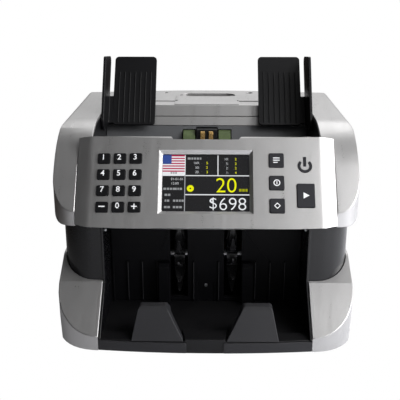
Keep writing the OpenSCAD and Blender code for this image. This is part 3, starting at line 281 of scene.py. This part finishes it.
def metalFlakePaint(name, colour, roughness, metallic):
    # satin paint: fine flakes, slow mottling, faint rub marks
    finish = Finish(name)
    cells = {"Vector": finish.place(), "Scale": 2600.0}
    flake = finish.axis(finish.add("ShaderNodeTexVoronoi", {"feature": "F1"}, cells, out="Color"), "X")
    rubs = finish.noise(220.0, detail=4.0, rough=0.6, where=finish.stretched((1.0, 0.12, 0.12)))
    base = finish.mottled(finish.noise(14.0, detail=3.0), colour, 0.95, 1.04)
    rubbed = finish.waver(rubs, roughness - 0.04, roughness + 0.05)
    return finish.surface({
        "Base Color": finish.blend(flake * 0.2, base, rgba(colour, 1.3)),
        "Roughness": rubbed + finish.spread(flake, 0.0, 1.0, -0.04, 0.04), "Metallic": metallic,
        "Normal": finish.bump(finish.noise(1400.0), 0.06, 0.0002)})


def brushedMetal(name, colour, roughness, along):
    # along is the scale of the brush marks on each axis
    finish = Finish(name)
    marks = finish.noise(900.0, detail=4.0, rough=0.6, where=finish.stretched(along))
    return finish.surface({
        "Base Color": finish.mottled(marks, colour, 0.85, 1.08),
        "Roughness": finish.waver(marks, roughness - 0.08, roughness + 0.1),
        "Metallic": 1.0, "Normal": finish.bump(marks, 0.12, 0.0002)})


def softRubber(name, colour, roughness, wear=0.1):
    finish = Finish(name)
    worn = finish.noise(90.0, detail=4.0, rough=0.6)
    share = finish.spread(worn, 0.35, 0.7, 0.0, 1.0)
    return finish.surface({
        "Base Color": finish.blend(share, rgba(colour, 1 - wear), rgba(colour, 1 + 2 * wear)),
        "Roughness": finish.waver(worn, roughness + 0.06, roughness - 0.06),
        "Normal": finish.bump(finish.noise(2400.0), 0.25, 0.0003)})


def circuitBoard(name, colour, copper):
    # solder mask with rows of tracks
    finish = Finish(name)
    tracks = finish.add("ShaderNodeTexBrick", {"offset": 0.37, "squash": 1.6}, {
        "Vector": finish.place(), "Scale": 260.0, "Color1": rgba(colour, 0.8), "Color2": rgba(colour, 1.2),
        "Mortar": rgba(copper), "Mortar Size": 0.02, "Brick Width": 1.3, "Row Height": 0.4})
    return finish.surface({"Base Color": tracks, "Roughness": finish.waver(finish.noise(300.0), 0.3, 0.45)})


def clearWindow(name, colour, alpha):
    finish = Finish(name)
    smear = finish.waver(finish.noise(40.0, detail=3.0), 0.04, 0.12)
    return finish.surface({
        "Base Color": rgba(colour), "Roughness": smear, "Alpha": alpha, "Specular IOR Level": 0.2})


def glow(name, colour):
    # a lit area of the display, slightly uneven as its dots are
    finish = Finish(name)
    return finish.surface({
        "Base Color": (0, 0, 0, 1), "Roughness": 0.6, "Specular IOR Level": 0.1,
        "Emission Color": finish.mottled(finish.noise(3000.0, detail=1.0), colour, 0.92, 1.0),
        "Emission Strength": 1.0})


def ink(name, colour):
    finish = Finish(name)
    uneven = finish.mottled(finish.noise(1500.0), colour, 0.9, 1.0)
    return finish.surface({"Base Color": uneven, "Roughness": 0.5})


finishes = {  # a plastic has its roughness, then the strength and size of its grain
    "silver_plastic": metalFlakePaint("silverPaint", (0.47, 0.465, 0.465), 0.34, 0.85),
    "black_plastic": mouldedPlastic("blackMoulding", (0.005, 0.005, 0.006), 0.42, 0.35, 0.0005, dust=0.01),
    "gloss_black": mouldedPlastic("semiGlossBlack", (0.004, 0.004, 0.005), 0.32, 0.12, 0.0006, dust=0.01),
    "wheel_black": mouldedPlastic("glossBlackWheel", (0.03, 0.03, 0.032), 0.27, 0.05, 0.0008, shine=0.5),
    "grey_plastic": mouldedPlastic("darkGreyMoulding", (0.022, 0.022, 0.025), 0.5, 0.3, 0.0005, dust=0.03),
    "key_black": mouldedPlastic("blackKeyCap", (0.006, 0.006, 0.007), 0.5, 0.15, 0.0004, shine=0.12),
    "key_grey": mouldedPlastic("greyKeyCap", (0.022, 0.022, 0.026), 0.5, 0.15, 0.0004, shine=0.2),
    "screen_glass": clearWindow("clearWindow", (0.02, 0.02, 0.025), 0.08),
    "display": mouldedPlastic("displayBack", (0.004, 0.006, 0.02), 0.3, 0.02, 0.001),
    "silicone": softRubber("greySilicone", (0.08, 0.08, 0.085), 0.6),
    "board_green": circuitBoard("greenBoard", (0.01, 0.09, 0.035), (0.1, 0.22, 0.08)),
    "board_tan": circuitBoard("tanBoard", (0.3, 0.2, 0.08), (0.4, 0.3, 0.12)),
    "frame_steel": brushedMetal("platedSteel", (0.55, 0.56, 0.58), 0.38, (1, 0.06, 1)),
    "shaft_steel": brushedMetal("groundSteel", (0.6, 0.6, 0.62), 0.28, (0.1, 1, 1)),
    "pulley_alloy": brushedMetal("turnedAlloy", (0.65, 0.65, 0.66), 0.3, (1, 0.3, 0.3)),
    "motor_metal": mouldedPlastic("motorPaint", (0.03, 0.03, 0.033), 0.4, 0.2, 0.0008, metallic=0.3),
    "roller_rubber": softRubber("greenRoller", (0.085, 0.12, 0.045), 0.55, wear=0.14),
    "retard_rubber": softRubber("darkRoller", (0.02, 0.02, 0.022), 0.6),
    "foot_rubber": softRubber("footRubber", (0.012, 0.012, 0.012), 0.7),
    "belt_rubber": softRubber("beltRubber", (0.014, 0.014, 0.014), 0.65),
    "brass_forks": brushedMetal("brassFork", (0.68, 0.44, 0.17), 0.3, (1, 0.2, 1)),
    "pinion_plastic": mouldedPlastic("acetalPinion", (0.7, 0.7, 0.64), 0.4, 0.08, 0.0008, mottle=0.03),
    "rocker_plastic": mouldedPlastic("rockerBlack", (0.01, 0.01, 0.011), 0.25, 0.05, 0.0008),
}
jetBlack = (0.004, 0.004, 0.005)
satinGuide = mouldedPlastic("satinGuide", jetBlack, 0.36, 0.2, 0.0005, shine=0.3)
ownFinish = {
    "throat_plate": mouldedPlastic("satinGreyPlate", (0.12, 0.123, 0.13), 0.4, 0.15, 0.0006, metallic=0.3),
    "stacker_back": mouldedPlastic("satinBlackWall", jetBlack, 0.5, 0.1, 0.0006, shine=0.1),
    "lower_body": mouldedPlastic("satinBlackBody", jetBlack, 0.24, 0.12, 0.0006, shine=0.4),
    "note_guide_left": satinGuide,
    "note_guide_right": satinGuide,
}
print("finishes ready:", len(finishes))

# the control panel's own frame: x across, y up the slope, z out of its face
panel = {
    "origin": (0, -107.5, 106.0), "tilt": 54.0,
    "flat": 100.0, "crown": 1.5,  # the face falls by the crown at this distance from the middle
    "facet": 0.29, "turning": (96.5, 104.0),  # slope of the end facets, and where the face turns into them
    "ends": 97.5, "sideways": 0.03, "outwards": {"middle": 0.99, "end": 0.9},  # what counts as its skin
}
panelTurn = Matrix.Rotation(math.radians(panel["tilt"]), 4, "X")
panelFrame = Matrix.Translation(Vector(panel["origin"]) * mm) @ panelTurn


def skin(x):
    return -panel["crown"] * (x / panel["flat"]) ** 2


def skinSlope(x):
    # fall of the panel's face per unit of x, turning smoothly into the facets at its ends
    start, end = panel["turning"]
    crowned = 2 * panel["crown"] * x / panel["flat"] ** 2
    share = min(1, max(0, (abs(x) - start) / (end - start)))
    return crowned + share ** 2 * (3 - 2 * share) * (math.copysign(panel["facet"], x) - crowned)


# CAD pieces with rolled edges: the width of each roll in mm
edges = {
    "upper_shell": 0.6, "front_panel": 0.25, "side_cover_left": 0.5, "side_cover_right": 0.5,
    "base_tray": 0.4, "lower_body": 0.5, "hopper_back": 0.3, "throat_plate": 0.3, "hopper_tub": 0.4,
    "centre_block": 0.3, "brass_forks": 0.2, "stacker_back": 0.35, "tray_stop_left": 0.5,
    "tray_stop_right": 0.5, "note_guide_left": 0.4, "note_guide_right": 0.4, "rear_door": 0.4,
    "power_inlet": 0.3, "power_rocker": 0.2, "rubber_feet": 0.3, "pickup_rollers": 0.4,
    "feed_rollers": 0.4, "stacker_wheels": 0.12, "pickup_shaft": 0.2, "feed_shaft": 0.2,
    "stacker_shaft": 0.2, "retard_roller": 0.3, "motor_pulley": 0.2, "rack_pinion": 0.08,
    "rack_guide": 0.3, "drive_motor": 0.4, "image_sensors": 0.3, "note_chute": 0.3,
    "side_frame_left": 0.2, "side_frame_right": 0.2, "shaft_bearings": 0.15, "main_board": 0.1,
    "power_board": 0.15, "drive_belts": 0.15, "key_mat": 0.2, "key_board": 0.1,
    "display_module": 0.15, "display_window": 0.15,
}
keyNames = [name for name in nodes if name.startswith("key_") and name not in edges]
keyEdges = {name: 0.4 for name in keyNames} | {"key_power": 0.12}
rolling = {
    "merge": 2e-6, "flat": 0.15,  # distance of doubles in metres, bend in degrees below which faces are one
    "crisp": 28, "crispOn": {"front_panel": 14},  # bend in degrees from which an edge counts as crisp
    "shortest": {"front_panel": 12},  # edges shorter than this in mm stay sharp, as round the key holes
    "room": 2.5,  # faces narrower than this many rolls get a smaller roll
    "segments": 2, "weight": 90,
}
# lengthwise creases with a wide roll, at x and -x: how near, how long and how bent they are
softLines = {"front_panel": {"x": 100.0, "near": 0.4, "length": 20, "bend": 5, "roll": 3.0}}
pierced = (  # flat faces with slots keep their triangles
    "stacker_back", "note_guide_left", "note_guide_right", "rear_door", "throat_plate",
    "side_cover_left", "side_cover_right", "tray_stop_left", "tray_stop_right",
)


def roomBeside(line):
    # how far the narrower of the two faces beside an edge reaches away from it
    start, end = (vert.co for vert in line.verts)
    along = (end - start).normalized()
    reaches = []
    for face in line.link_faces:
        spokes = [vert.co - start for vert in face.verts]
        reaches.append(max((spoke - spoke.dot(along) * along).length for spoke in spokes))
    return min(reaches)


def isSoftLine(line, soft):
    beside = all(abs(abs(vert.co.x) - soft["x"] * mm) < soft["near"] * mm for vert in line.verts)
    return beside and line.calc_length() > soft["length"] * mm


def seam(line):
    return frozenset(tuple(round(c / mm, 3) for c in vert.co) for vert in line.verts)


def edgeShares(whole, name, edge, widest):
    # for each crisp or softly rolled edge, its share of the widest roll and whether it shades smoothly
    soft = softLines.get(name)
    crisp = math.radians(rolling["crispOn"].get(name, rolling["crisp"]))
    shortest = rolling["shortest"].get(name, 0) * mm
    shares = {}
    for line in whole.edges:
        bend = line.calc_face_angle(0)
        if soft and isSoftLine(line, soft) and bend > math.radians(soft["bend"]):
            shares[seam(line)] = (1, True)
        elif bend > crisp:
            fits = min(1, roomBeside(line) / (rolling["room"] * edge * mm))
            shares[seam(line)] = ((line.calc_length() > shortest) * fits * edge / widest, False)
    return shares


def rolledCopy(name, edge):
    # a copy of the node with merged vertices, whole flat faces and rounded edges
    source = nodes[name]
    widest = softLines[name]["roll"] if name in softLines else edge
    mesh = source.data.copy()
    loose = bmesh.new()
    loose.from_mesh(mesh)
    bmesh.ops.remove_doubles(loose, verts=loose.verts, dist=rolling["merge"])
    whole = loose.copy()
    flat = math.radians(rolling["flat"])
    bmesh.ops.dissolve_limit(whole, angle_limit=flat, verts=whole.verts, edges=whole.edges)
    shares = edgeShares(whole, name, edge, widest)
    shape = loose if name in pierced else whole
    layer = shape.edges.layers.float.new("bevel_weight_edge")
    for face in shape.faces:
        face.smooth = True
    for line in shape.edges:
        line[layer], line.smooth = shares.get(seam(line), (0, True))
    shape.to_mesh(mesh)
    loose.free()
    whole.free()
    mesh.materials.clear()
    mesh.materials.append(ownFinish.get(name) or finishes[slotOf[name]])
    piece = linked("dressed_" + name, mesh)
    bevel = piece.modifiers.new("edge", "BEVEL")
    bevel.width = widest * mm
    bevel.segments = rolling["segments"]
    bevel.limit_method = "WEIGHT"
    bevel.use_clamp_overlap = False
    bevel.loop_slide = False
    bevel.miter_outer = "MITER_ARC"
    weighted = piece.modifiers.new("normals", "WEIGHTED_NORMAL")
    weighted.keep_sharp = True
    weighted.weight = rolling["weight"]
    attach(piece, source["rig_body"])
    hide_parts(name)
    return piece


def smoothSkin(piece):
    # the crowned face of the panel shaded as one curve, over its flat strips
    mesh = plainMesh(piece)
    out = panelFrame.to_3x3()
    inwards = out.inverted()
    normals = []
    for face in mesh.polygons:
        facing = inwards @ face.normal
        part = "end" if abs(face.center.x) > panel["ends"] * mm else "middle"
        onSkin = abs(facing.y) < panel["sideways"] and facing.z > panel["outwards"][part]
        for corner in face.loop_indices:
            x = mesh.vertices[mesh.loops[corner].vertex_index].co.x / mm
            curved = (out @ Vector((skinSlope(x), 0, 1))).normalized()
            normals.append(curved if onSkin else mesh.corner_normals[corner].vector.copy())
    mesh.normals_split_custom_set(normals)
    piece.modifiers.clear()
    piece.data = mesh


for nodeName, edgeWidth in (edges | keyEdges).items():
    dressed = rolledCopy(nodeName, edgeWidth)
    if nodeName == "front_panel":
        smoothSkin(dressed)
print("pieces dressed:", len(edges | keyEdges))


# flat shapes for the printing and the display
def flatPiece(name, mesh, finish, body):
    mesh.materials.clear()
    mesh.materials.append(finish)
    piece = linked(name, mesh)
    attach(piece, body)


def wordMesh(words, size, thick, offset):
    curve = bpy.data.curves.new("words", "FONT")
    curve.body = words
    curve.size = size * mm
    curve.extrude = thick * mm / 2
    curve.offset = offset * mm
    curve.align_x = "CENTER"
    curve.align_y = "CENTER"
    holder = linked("words", curve)
    mesh = plainMesh(holder)
    bpy.data.objects.remove(holder)
    return mesh


def outlineMesh(outlines, thick):
    # closed flat outlines in mm, given a small thickness
    shape = bmesh.new()
    for outline in outlines:
        shape.faces.new([shape.verts.new((x * mm, y * mm, 0)) for x, y in outline])
    raised = bmesh.ops.extrude_face_region(shape, geom=list(shape.faces))
    tops = [item for item in raised["geom"] if isinstance(item, bmesh.types.BMVert)]
    bmesh.ops.translate(shape, verts=tops, vec=(0, 0, thick * mm))
    bmesh.ops.recalc_face_normals(shape, faces=shape.faces)
    mesh = bpy.data.meshes.new("outline")
    shape.to_mesh(mesh)
    shape.free()
    return mesh


def bar(x0, y0, x1, y1):
    return [(x0, y0), (x1, y0), (x1, y1), (x0, y1)]


def arc(radius, start, end, steps, middle):
    points = []
    for step in range(steps + 1):
        turn = math.radians(start + (end - start) * step / steps)
        points.append((middle[0] + radius * math.cos(turn), middle[1] + radius * math.sin(turn)))
    return points


def ring(outer, inner, middle=(0, 0), end=359.9, steps=28):
    # stops just short of a full turn, so that it is one outline
    return arc(outer, 0, end, steps, middle) + arc(inner, end, 0, steps, middle)


def plus(arm, half):
    # one inner corner of the sign, turned by a quarter four times
    corner = [(-arm, -half), (-half, -half), (-half, -arm)]
    outline = []
    for _ in range(4):
        outline += corner
        corner = [(-y, x) for x, y in corner]
    return outline


# printing on the keys
printing = {
    "rise": 1.5, "lift": 0.03, "thick": 0.06,  # caps over the panel's face, ink over the caps, the ink itself
    "size": 7.0, "bold": 0.1, "shift": (-0.5, 0.9),  # of the digits
}
digits = {"key_" + digit: digit for digit in "1234567890"}
signs = {  # the outlines of each sign, and how far it stands above the key's middle
    "key_special": ([bar(-2.6, -0.5, 2.6, 0.5)], 0.4),
    "key_add": ([plus(2.4, 0.5)], 0.4),
    "key_mode": ([bar(-2.8, 1.6, 2.8, 2.4), bar(-2.8, -0.4, 2.8, 0.4), bar(-2.8, -2.4, 1.0, -1.6)], 0.0),
    "key_currency": ([ring(2.9, 2.1), bar(-0.35, -1.5, 0.35, 1.5)], 0.0),
    "key_check": ([[(-2.8, 0.0), (0, -2.8), (2.8, 0.0), (0, 2.8),
                    (0, 1.9), (1.9, 0.0), (0, -1.9), (-1.9, 0.0), (0, 1.9), (0, 2.8)]], 0.0),
    "key_start": ([[(-2.2, -2.8), (3.0, 0), (-2.2, 2.8)]], 0.0),
}
whiteInk = ink("whiteInk", (0.92, 0.93, 0.95))


def printKey(name):
    low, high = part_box(name)
    middle = panelFrame.inverted() @ ((low + high) / 2)
    x, u = middle.x / mm, middle.y / mm
    top = skin(x) + printing["rise"] + printing["lift"]
    if name in digits:
        mesh = wordMesh(digits[name], printing["size"], printing["thick"], printing["bold"])
        across, up = printing["shift"]
        place = (x + across, u + up, top)
    else:
        outlines, up = signs[name]
        mesh = outlineMesh(outlines, printing["thick"])
        place = (x, u + up, top - printing["thick"] / 2)
    mesh.transform(panelFrame @ Matrix.Translation(Vector(place) * mm))
    flatPiece("print_" + name, mesh, whiteInk, nodes[name]["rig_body"])


for keyName in keyNames:
    if keyName in digits or keyName in signs:
        printKey(keyName)
print("keys printed")

# the lit display: places in mm run right and down from its upper left corner
display = {
    "wide": 74.4, "high": 51.2, "middle": 41.1, "depth": -5.4,
    "thick": 0.04, "gap": 0.02, "layer": 0.06, "margin": (1.5, 2),
    "paper": [(0, 15.2, 18.9, 18.9)],
    "lines": [
        (18.9, 0, 19.6, 18.2), (47.2, 0, 48.0, 18.2), (19.6, 18.2, 74.4, 19.0), (19.6, 35.3, 74.4, 36.2)],
    "dimLines": [(18.9, 18.9, 19.6, 51.2)],
    "stripes": {"wide": 18.9, "high": 15.2, "count": 13, "corner": (7.5, 7.9), "slack": 0.1},
    "button": {"outer": 3.0, "inner": 0.7, "middle": (24.0, -30.2)},
    "greeked": {"high": 1.9, "gap": 0.6, "rows": [  # x, y, widths of the bars that stand for words
        (21.4, 3.0, (2.6, 1.6, 1.8, 1.9, 1.5)), (1.0, 30.6, (2.3, 2.0, 1.8, 2.1)),
        (10.4, 30.6, (2.0, 1.2, 2.1)), (2.1, 36.0, (2.2, 2.1)), (2.3, 41.2, (1.1, 2.2)),
        (9.4, 41.2, (2.0, 1.9, 1.5, 1.9)), (1.9, 46.9, (2.2, 2.2)), (9.4, 46.9, (2.0, 2.2, 2.2))]},
    "paperGreeked": {"high": 1.8, "gap": 0.4, "rows": [(6.8, 16.2, (1.6, 1.5, 1.6))]},
    "yellowGreeked": {"high": 2.4, "gap": 0.5, "rows": [(65.6, 31.6, (2.2, 2.2, 1.9))]},
    "words": [  # words, x of the right end, y of the middle, size, change of stroke
        ("01-01-01", 17.4, 21.8, 3.0, -0.04), ("12:00", 13.8, 25.7, 3.0, -0.04),
        ("100:", 31.5, 7.1, 3.1, -0.05), ("50:", 31.5, 11.2, 3.1, -0.05), ("20:", 31.5, 15.3, 3.1, -0.05),
        ("10:", 56.5, 3.4, 3.1, -0.05), ("5:", 56.5, 7.6, 3.1, -0.05), ("2:", 56.5, 11.7, 3.1, -0.05),
        ("1:", 56.5, 15.8, 3.1, -0.05), ("$", 46.6, 43.9, 14.4, -0.2), ("698", 71.6, 43.9, 16.2, -0.2)],
    "yellowWords": [
        ("5", 38.8, 7.1, 3.2, 0.0), ("2", 38.8, 11.2, 3.2, 0.0), ("3", 38.8, 15.3, 3.2, 0.0),
        ("2", 63.6, 3.4, 3.2, 0.0), ("2", 63.6, 7.6, 3.2, 0.0), ("2", 63.6, 11.7, 3.2, 0.0),
        ("4", 63.6, 15.8, 3.2, 0.0), ("20", 63.4, 27.2, 18.8, -0.15)],
}
screenColours = {
    "black": glow("screenBlack", (0.016, 0.016, 0.017)), "white": glow("screenWhite", (0.9, 0.92, 0.95)),
    "dim": glow("screenGrey", (0.42, 0.43, 0.45)), "yellow": glow("screenYellow", (0.93, 0.95, 0.0)),
    "red": glow("screenRed", (0.5, 0.025, 0.09)), "blue": glow("screenBlue", (0.04, 0.08, 0.32)),
    "text": glow("screenText", (0.33, 0.34, 0.35)), "dimYellow": glow("screenDimYellow", (0.35, 0.36, 0.0)),
}


def screenPiece(name, mesh, layer, colour):
    corner = Vector((-display["wide"] / 2, display["middle"] + display["high"] / 2, 0))
    lift = Vector((0, 0, display["depth"] + display["gap"] + layer * display["layer"]))
    mesh.transform(panelFrame @ Matrix.Translation((corner + lift) * mm))
    flatPiece(name, mesh, screenColours[colour], "case")


def screenBars(name, bars, colour, layer=1):
    outlines = [bar(x0, -y1, x1, -y0) for x0, y0, x1, y1 in bars]
    screenPiece(name, outlineMesh(outlines, display["thick"]), layer, colour)


def screenWords(name, rows, colour):
    shape = bmesh.new()
    for words, right, middle, size, stroke in rows:
        mesh = wordMesh(words, size, display["thick"], stroke)
        xs = [vert.co.x for vert in mesh.vertices]
        ys = [vert.co.y for vert in mesh.vertices]
        mesh.transform(Matrix.Translation((right * mm - max(xs), -middle * mm - (max(ys) + min(ys)) / 2, 0)))
        shape.from_mesh(mesh)
    joined = bpy.data.meshes.new(name)
    shape.to_mesh(joined)
    shape.free()
    screenPiece(name, joined, 2, colour)


def greekBars(rows, high, gap):
    bars = []
    for x, y, widths in rows:
        for wide in widths:
            bars.append((x, y - high / 2, x + wide, y + high / 2))
            x += wide + gap
    return bars


def makeDisplay():
    beyond, below = display["margin"]
    ground = (-beyond, -below, display["wide"] + beyond, display["high"] + below)
    screenBars("screen_ground", [ground], "black", 0)
    screenBars("screen_paper", display["paper"] + display["lines"], "white")
    screenBars("screen_dividers", display["dimLines"], "dim")
    stripes = display["stripes"]
    step = stripes["high"] / stripes["count"]
    left, drop = stripes["corner"]
    rows = []
    for i in range(stripes["count"]):
        start = left if i * step < drop - stripes["slack"] else 0
        rows.append((start, i * step, stripes["wide"], (i + 1) * step))
    screenBars("screen_red_stripes", rows[0::2], "red")
    screenBars("screen_white_stripes", rows[1::2], "white")
    screenBars("screen_corner", [(0, 0, left, drop)], "blue")
    screenBars("screen_greeking", greekBars(**display["greeked"]), "text")
    screenBars("screen_paper_greeking", greekBars(**display["paperGreeked"]), "dim", 2)
    screenBars("screen_yellow_greeking", greekBars(**display["yellowGreeked"]), "dimYellow")
    screenWords("screen_words", display["words"], "white")
    screenWords("screen_yellow_words", display["yellowWords"], "yellow")
    screenPiece("screen_button", outlineMesh([ring(**display["button"])], display["thick"]), 1, "yellow")


makeDisplay()
print("display lit")


# small fittings grown by geometry nodes
class Grower(Graph):  # a geometry node tree with named sizes
    kinds = {float: "NodeSocketFloat", tuple: "NodeSocketVector", int: "NodeSocketInt"}

    def __init__(self, name, sizes):
        super().__init__(bpy.data.node_groups.new(name, "GeometryNodeTree"))
        self.keys = {}
        face = self.tree.interface
        face.new_socket("Geometry", in_out="INPUT", socket_type="NodeSocketGeometry")
        for label, value in sizes.items():
            socket = face.new_socket(label, in_out="INPUT", socket_type=self.kinds[type(value)])
            socket.default_value = value
            self.keys[label] = socket.identifier
        face.new_socket("Geometry", in_out="OUTPUT", socket_type="NodeSocketGeometry")
        self.given = self.tree.nodes.new("NodeGroupInput")

    def size(self, label):
        return Wire(self, self.given.outputs[label])

    def vector(self, x, y, z):
        return self.add("ShaderNodeCombineXYZ", None, {0: x, 1: y, 2: z})

    def finished(self, shape, finish):
        real = self.add("GeometryNodeRealizeInstances", None, {0: shape})
        dressed = self.add("GeometryNodeSetMaterial", None, {"Geometry": real, "Material": finish})
        self.end("NodeGroupOutput", dressed)
        return self

    def grown(self, points, sizes):
        # the tree's result on loose points, as a plain mesh
        seed = bpy.data.meshes.new("points")
        seed.from_pydata([Vector(point) * mm for point in points], [], [])
        holder = linked("points", seed)
        grow = holder.modifiers.new("grow", "NODES")
        grow.node_group = self.tree
        for label, value in sizes.items():
            grow[self.keys[label]] = value
        mesh = plainMesh(holder)
        bpy.data.objects.remove(holder)
        return mesh


screws = {
    "head": {  # the top's radius and the cross's width are shares of the radius, its depth of the height
        "Radius": 1.6 * mm, "Height": 1.1 * mm, "Top": 0.72, "Cross": 0.28, "Cross depth": 0.6,
        "Facing": (0.0, 0.0, 1.0)},
    "sides": 28, "crossLength": 1.1,  # end to end, as a share of the radius
    "spots": {
        "wallScrew": {"place": (0.1, -50.4, 26.4), "radius": 1.7, "facing": (0.0, -1.0, 0.0)},
        "leftScrew": {"place": (-88.0, -79.0, 93.0), "radius": 1.6, "facing": (1.0, 0.0, 0.0)},
        "rightScrew": {"place": (88.0, -77.0, 93.0), "radius": 1.6, "facing": (-1.0, 0.0, 0.0)}},
}


def screwTree(finish):
    # a chamfered head with a cross recess, stood on each point
    grower = Grower("screwHead", screws["head"])
    radius, height = grower.size("Radius"), grower.size("Height")
    head = grower.add("GeometryNodeMeshCone", None, {
        "Vertices": screws["sides"], "Radius Top": radius * grower.size("Top"), "Radius Bottom": radius,
        "Depth": height})
    reach, slim = radius * screws["crossLength"], radius * grower.size("Cross")
    deep = height * grower.size("Cross depth") * 2
    for size in (grower.vector(reach, slim, deep), grower.vector(slim, reach, deep)):
        blade = grower.add("GeometryNodeTransform", None, {
            "Geometry": grower.add("GeometryNodeMeshCube", None, {"Size": size}),
            "Translation": grower.vector(0, 0, height)})
        head = grower.add("GeometryNodeMeshBoolean", {"operation": "DIFFERENCE"}, {0: head, 1: blade})
    turned = grower.add("FunctionNodeAlignRotationToVector", {"axis": "Z"}, {"Vector": grower.size("Facing")})
    placed = grower.add("GeometryNodeInstanceOnPoints", None, {
        "Points": grower.size("Geometry"), "Instance": head, "Rotation": turned})
    return grower.finished(placed, finish)


def makeScrews():
    finish = finishes["frame_steel"]
    grower = screwTree(finish)
    for name, spot in screws["spots"].items():
        sizes = screws["head"] | {"Radius": spot["radius"] * mm, "Facing": spot["facing"]}
        flatPiece(name, grower.grown([spot["place"]], sizes), finish, "case")


# the short scale marks on the deck
scaleMarks = {
    "Start": metres((-21.7, 60.9, 177.8)), "Step": 10.5 * mm, "Mark": metres((0.35, 1.8, 0.05)), "Count": 6,
}


def makeScaleMarks():
    finish = ink("scaleMarks", (0.2, 0.2, 0.21))
    grower = Grower("rowOfMarks", scaleMarks)
    row = grower.add("GeometryNodeMeshLine", None, {
        "Count": grower.size("Count"), "Start Location": grower.size("Start"),
        "Offset": grower.vector(grower.size("Step"), 0, 0)})
    mark = grower.add("GeometryNodeMeshCube", None, {"Size": grower.size("Mark")})
    placed = grower.add("GeometryNodeInstanceOnPoints", None, {"Points": row, "Instance": mark})
    mesh = grower.finished(placed, finish).grown([(0, 0, 0)], scaleMarks)
    flatPiece("deckScale", mesh, finish, "case")


# painted highlights on the stacker's ribs: thin lighter strips just right of the middle of each rib, where
# the ribs would catch the light
paintedRibHighlights = {
    "mark": metres((0.45, 0.12, 38.0)), "ribs": (11.7, 45.9, 59.5, 73.0), "beside": 0.45,
    "y": -52.5, "z": 31.5,
}


def makePaintedRibHighlights():
    # a lighter satin grey that paints the highlight on each rib
    finish = mouldedPlastic("wornRibEdge", (0.05, 0.05, 0.054), 0.3, 0.1, 0.0006)
    sizes = {"Mark": paintedRibHighlights["mark"]}
    grower = Grower("ribEdge", sizes)
    mark = grower.add("GeometryNodeMeshCube", None, {"Size": grower.size("Mark")})
    placed = grower.add("GeometryNodeInstanceOnPoints", None, {
        "Points": grower.size("Geometry"), "Instance": mark})
    points = []
    for x in paintedRibHighlights["ribs"]:
        for side in (-1, 1):
            points.append((side * x + paintedRibHighlights["beside"], paintedRibHighlights["y"], paintedRibHighlights["z"]))
    mesh = grower.finished(placed, finish).grown(points, sizes)
    flatPiece("paintedRibHighlights", mesh, finish, "case")


# the pan that closes the carrying recess just below the deck
pan = {
    "wide": 59.0, "long": 19.0, "middle": (0, 109.0), "steps": 16,
    "deck": 177.0, "depth": 3.0, "thick": 1.0,
}


def makePan():
    radius, steps = pan["long"] / 2, pan["steps"]
    half = pan["wide"] / 2 - radius
    outline = arc(radius, -90, 90, steps, (half, 0)) + arc(radius, 90, 270, steps, (-half, 0))
    mesh = outlineMesh([outline], pan["thick"])
    place = Vector((*pan["middle"], pan["deck"] - pan["depth"] - pan["thick"]))
    mesh.transform(Matrix.Translation(place * mm))
    flatPiece("recessPan", mesh, finishes["silver_plastic"], "case")


makeScrews()
makeScaleMarks()
makePaintedRibHighlights()
makePan()
print("small fittings ready")
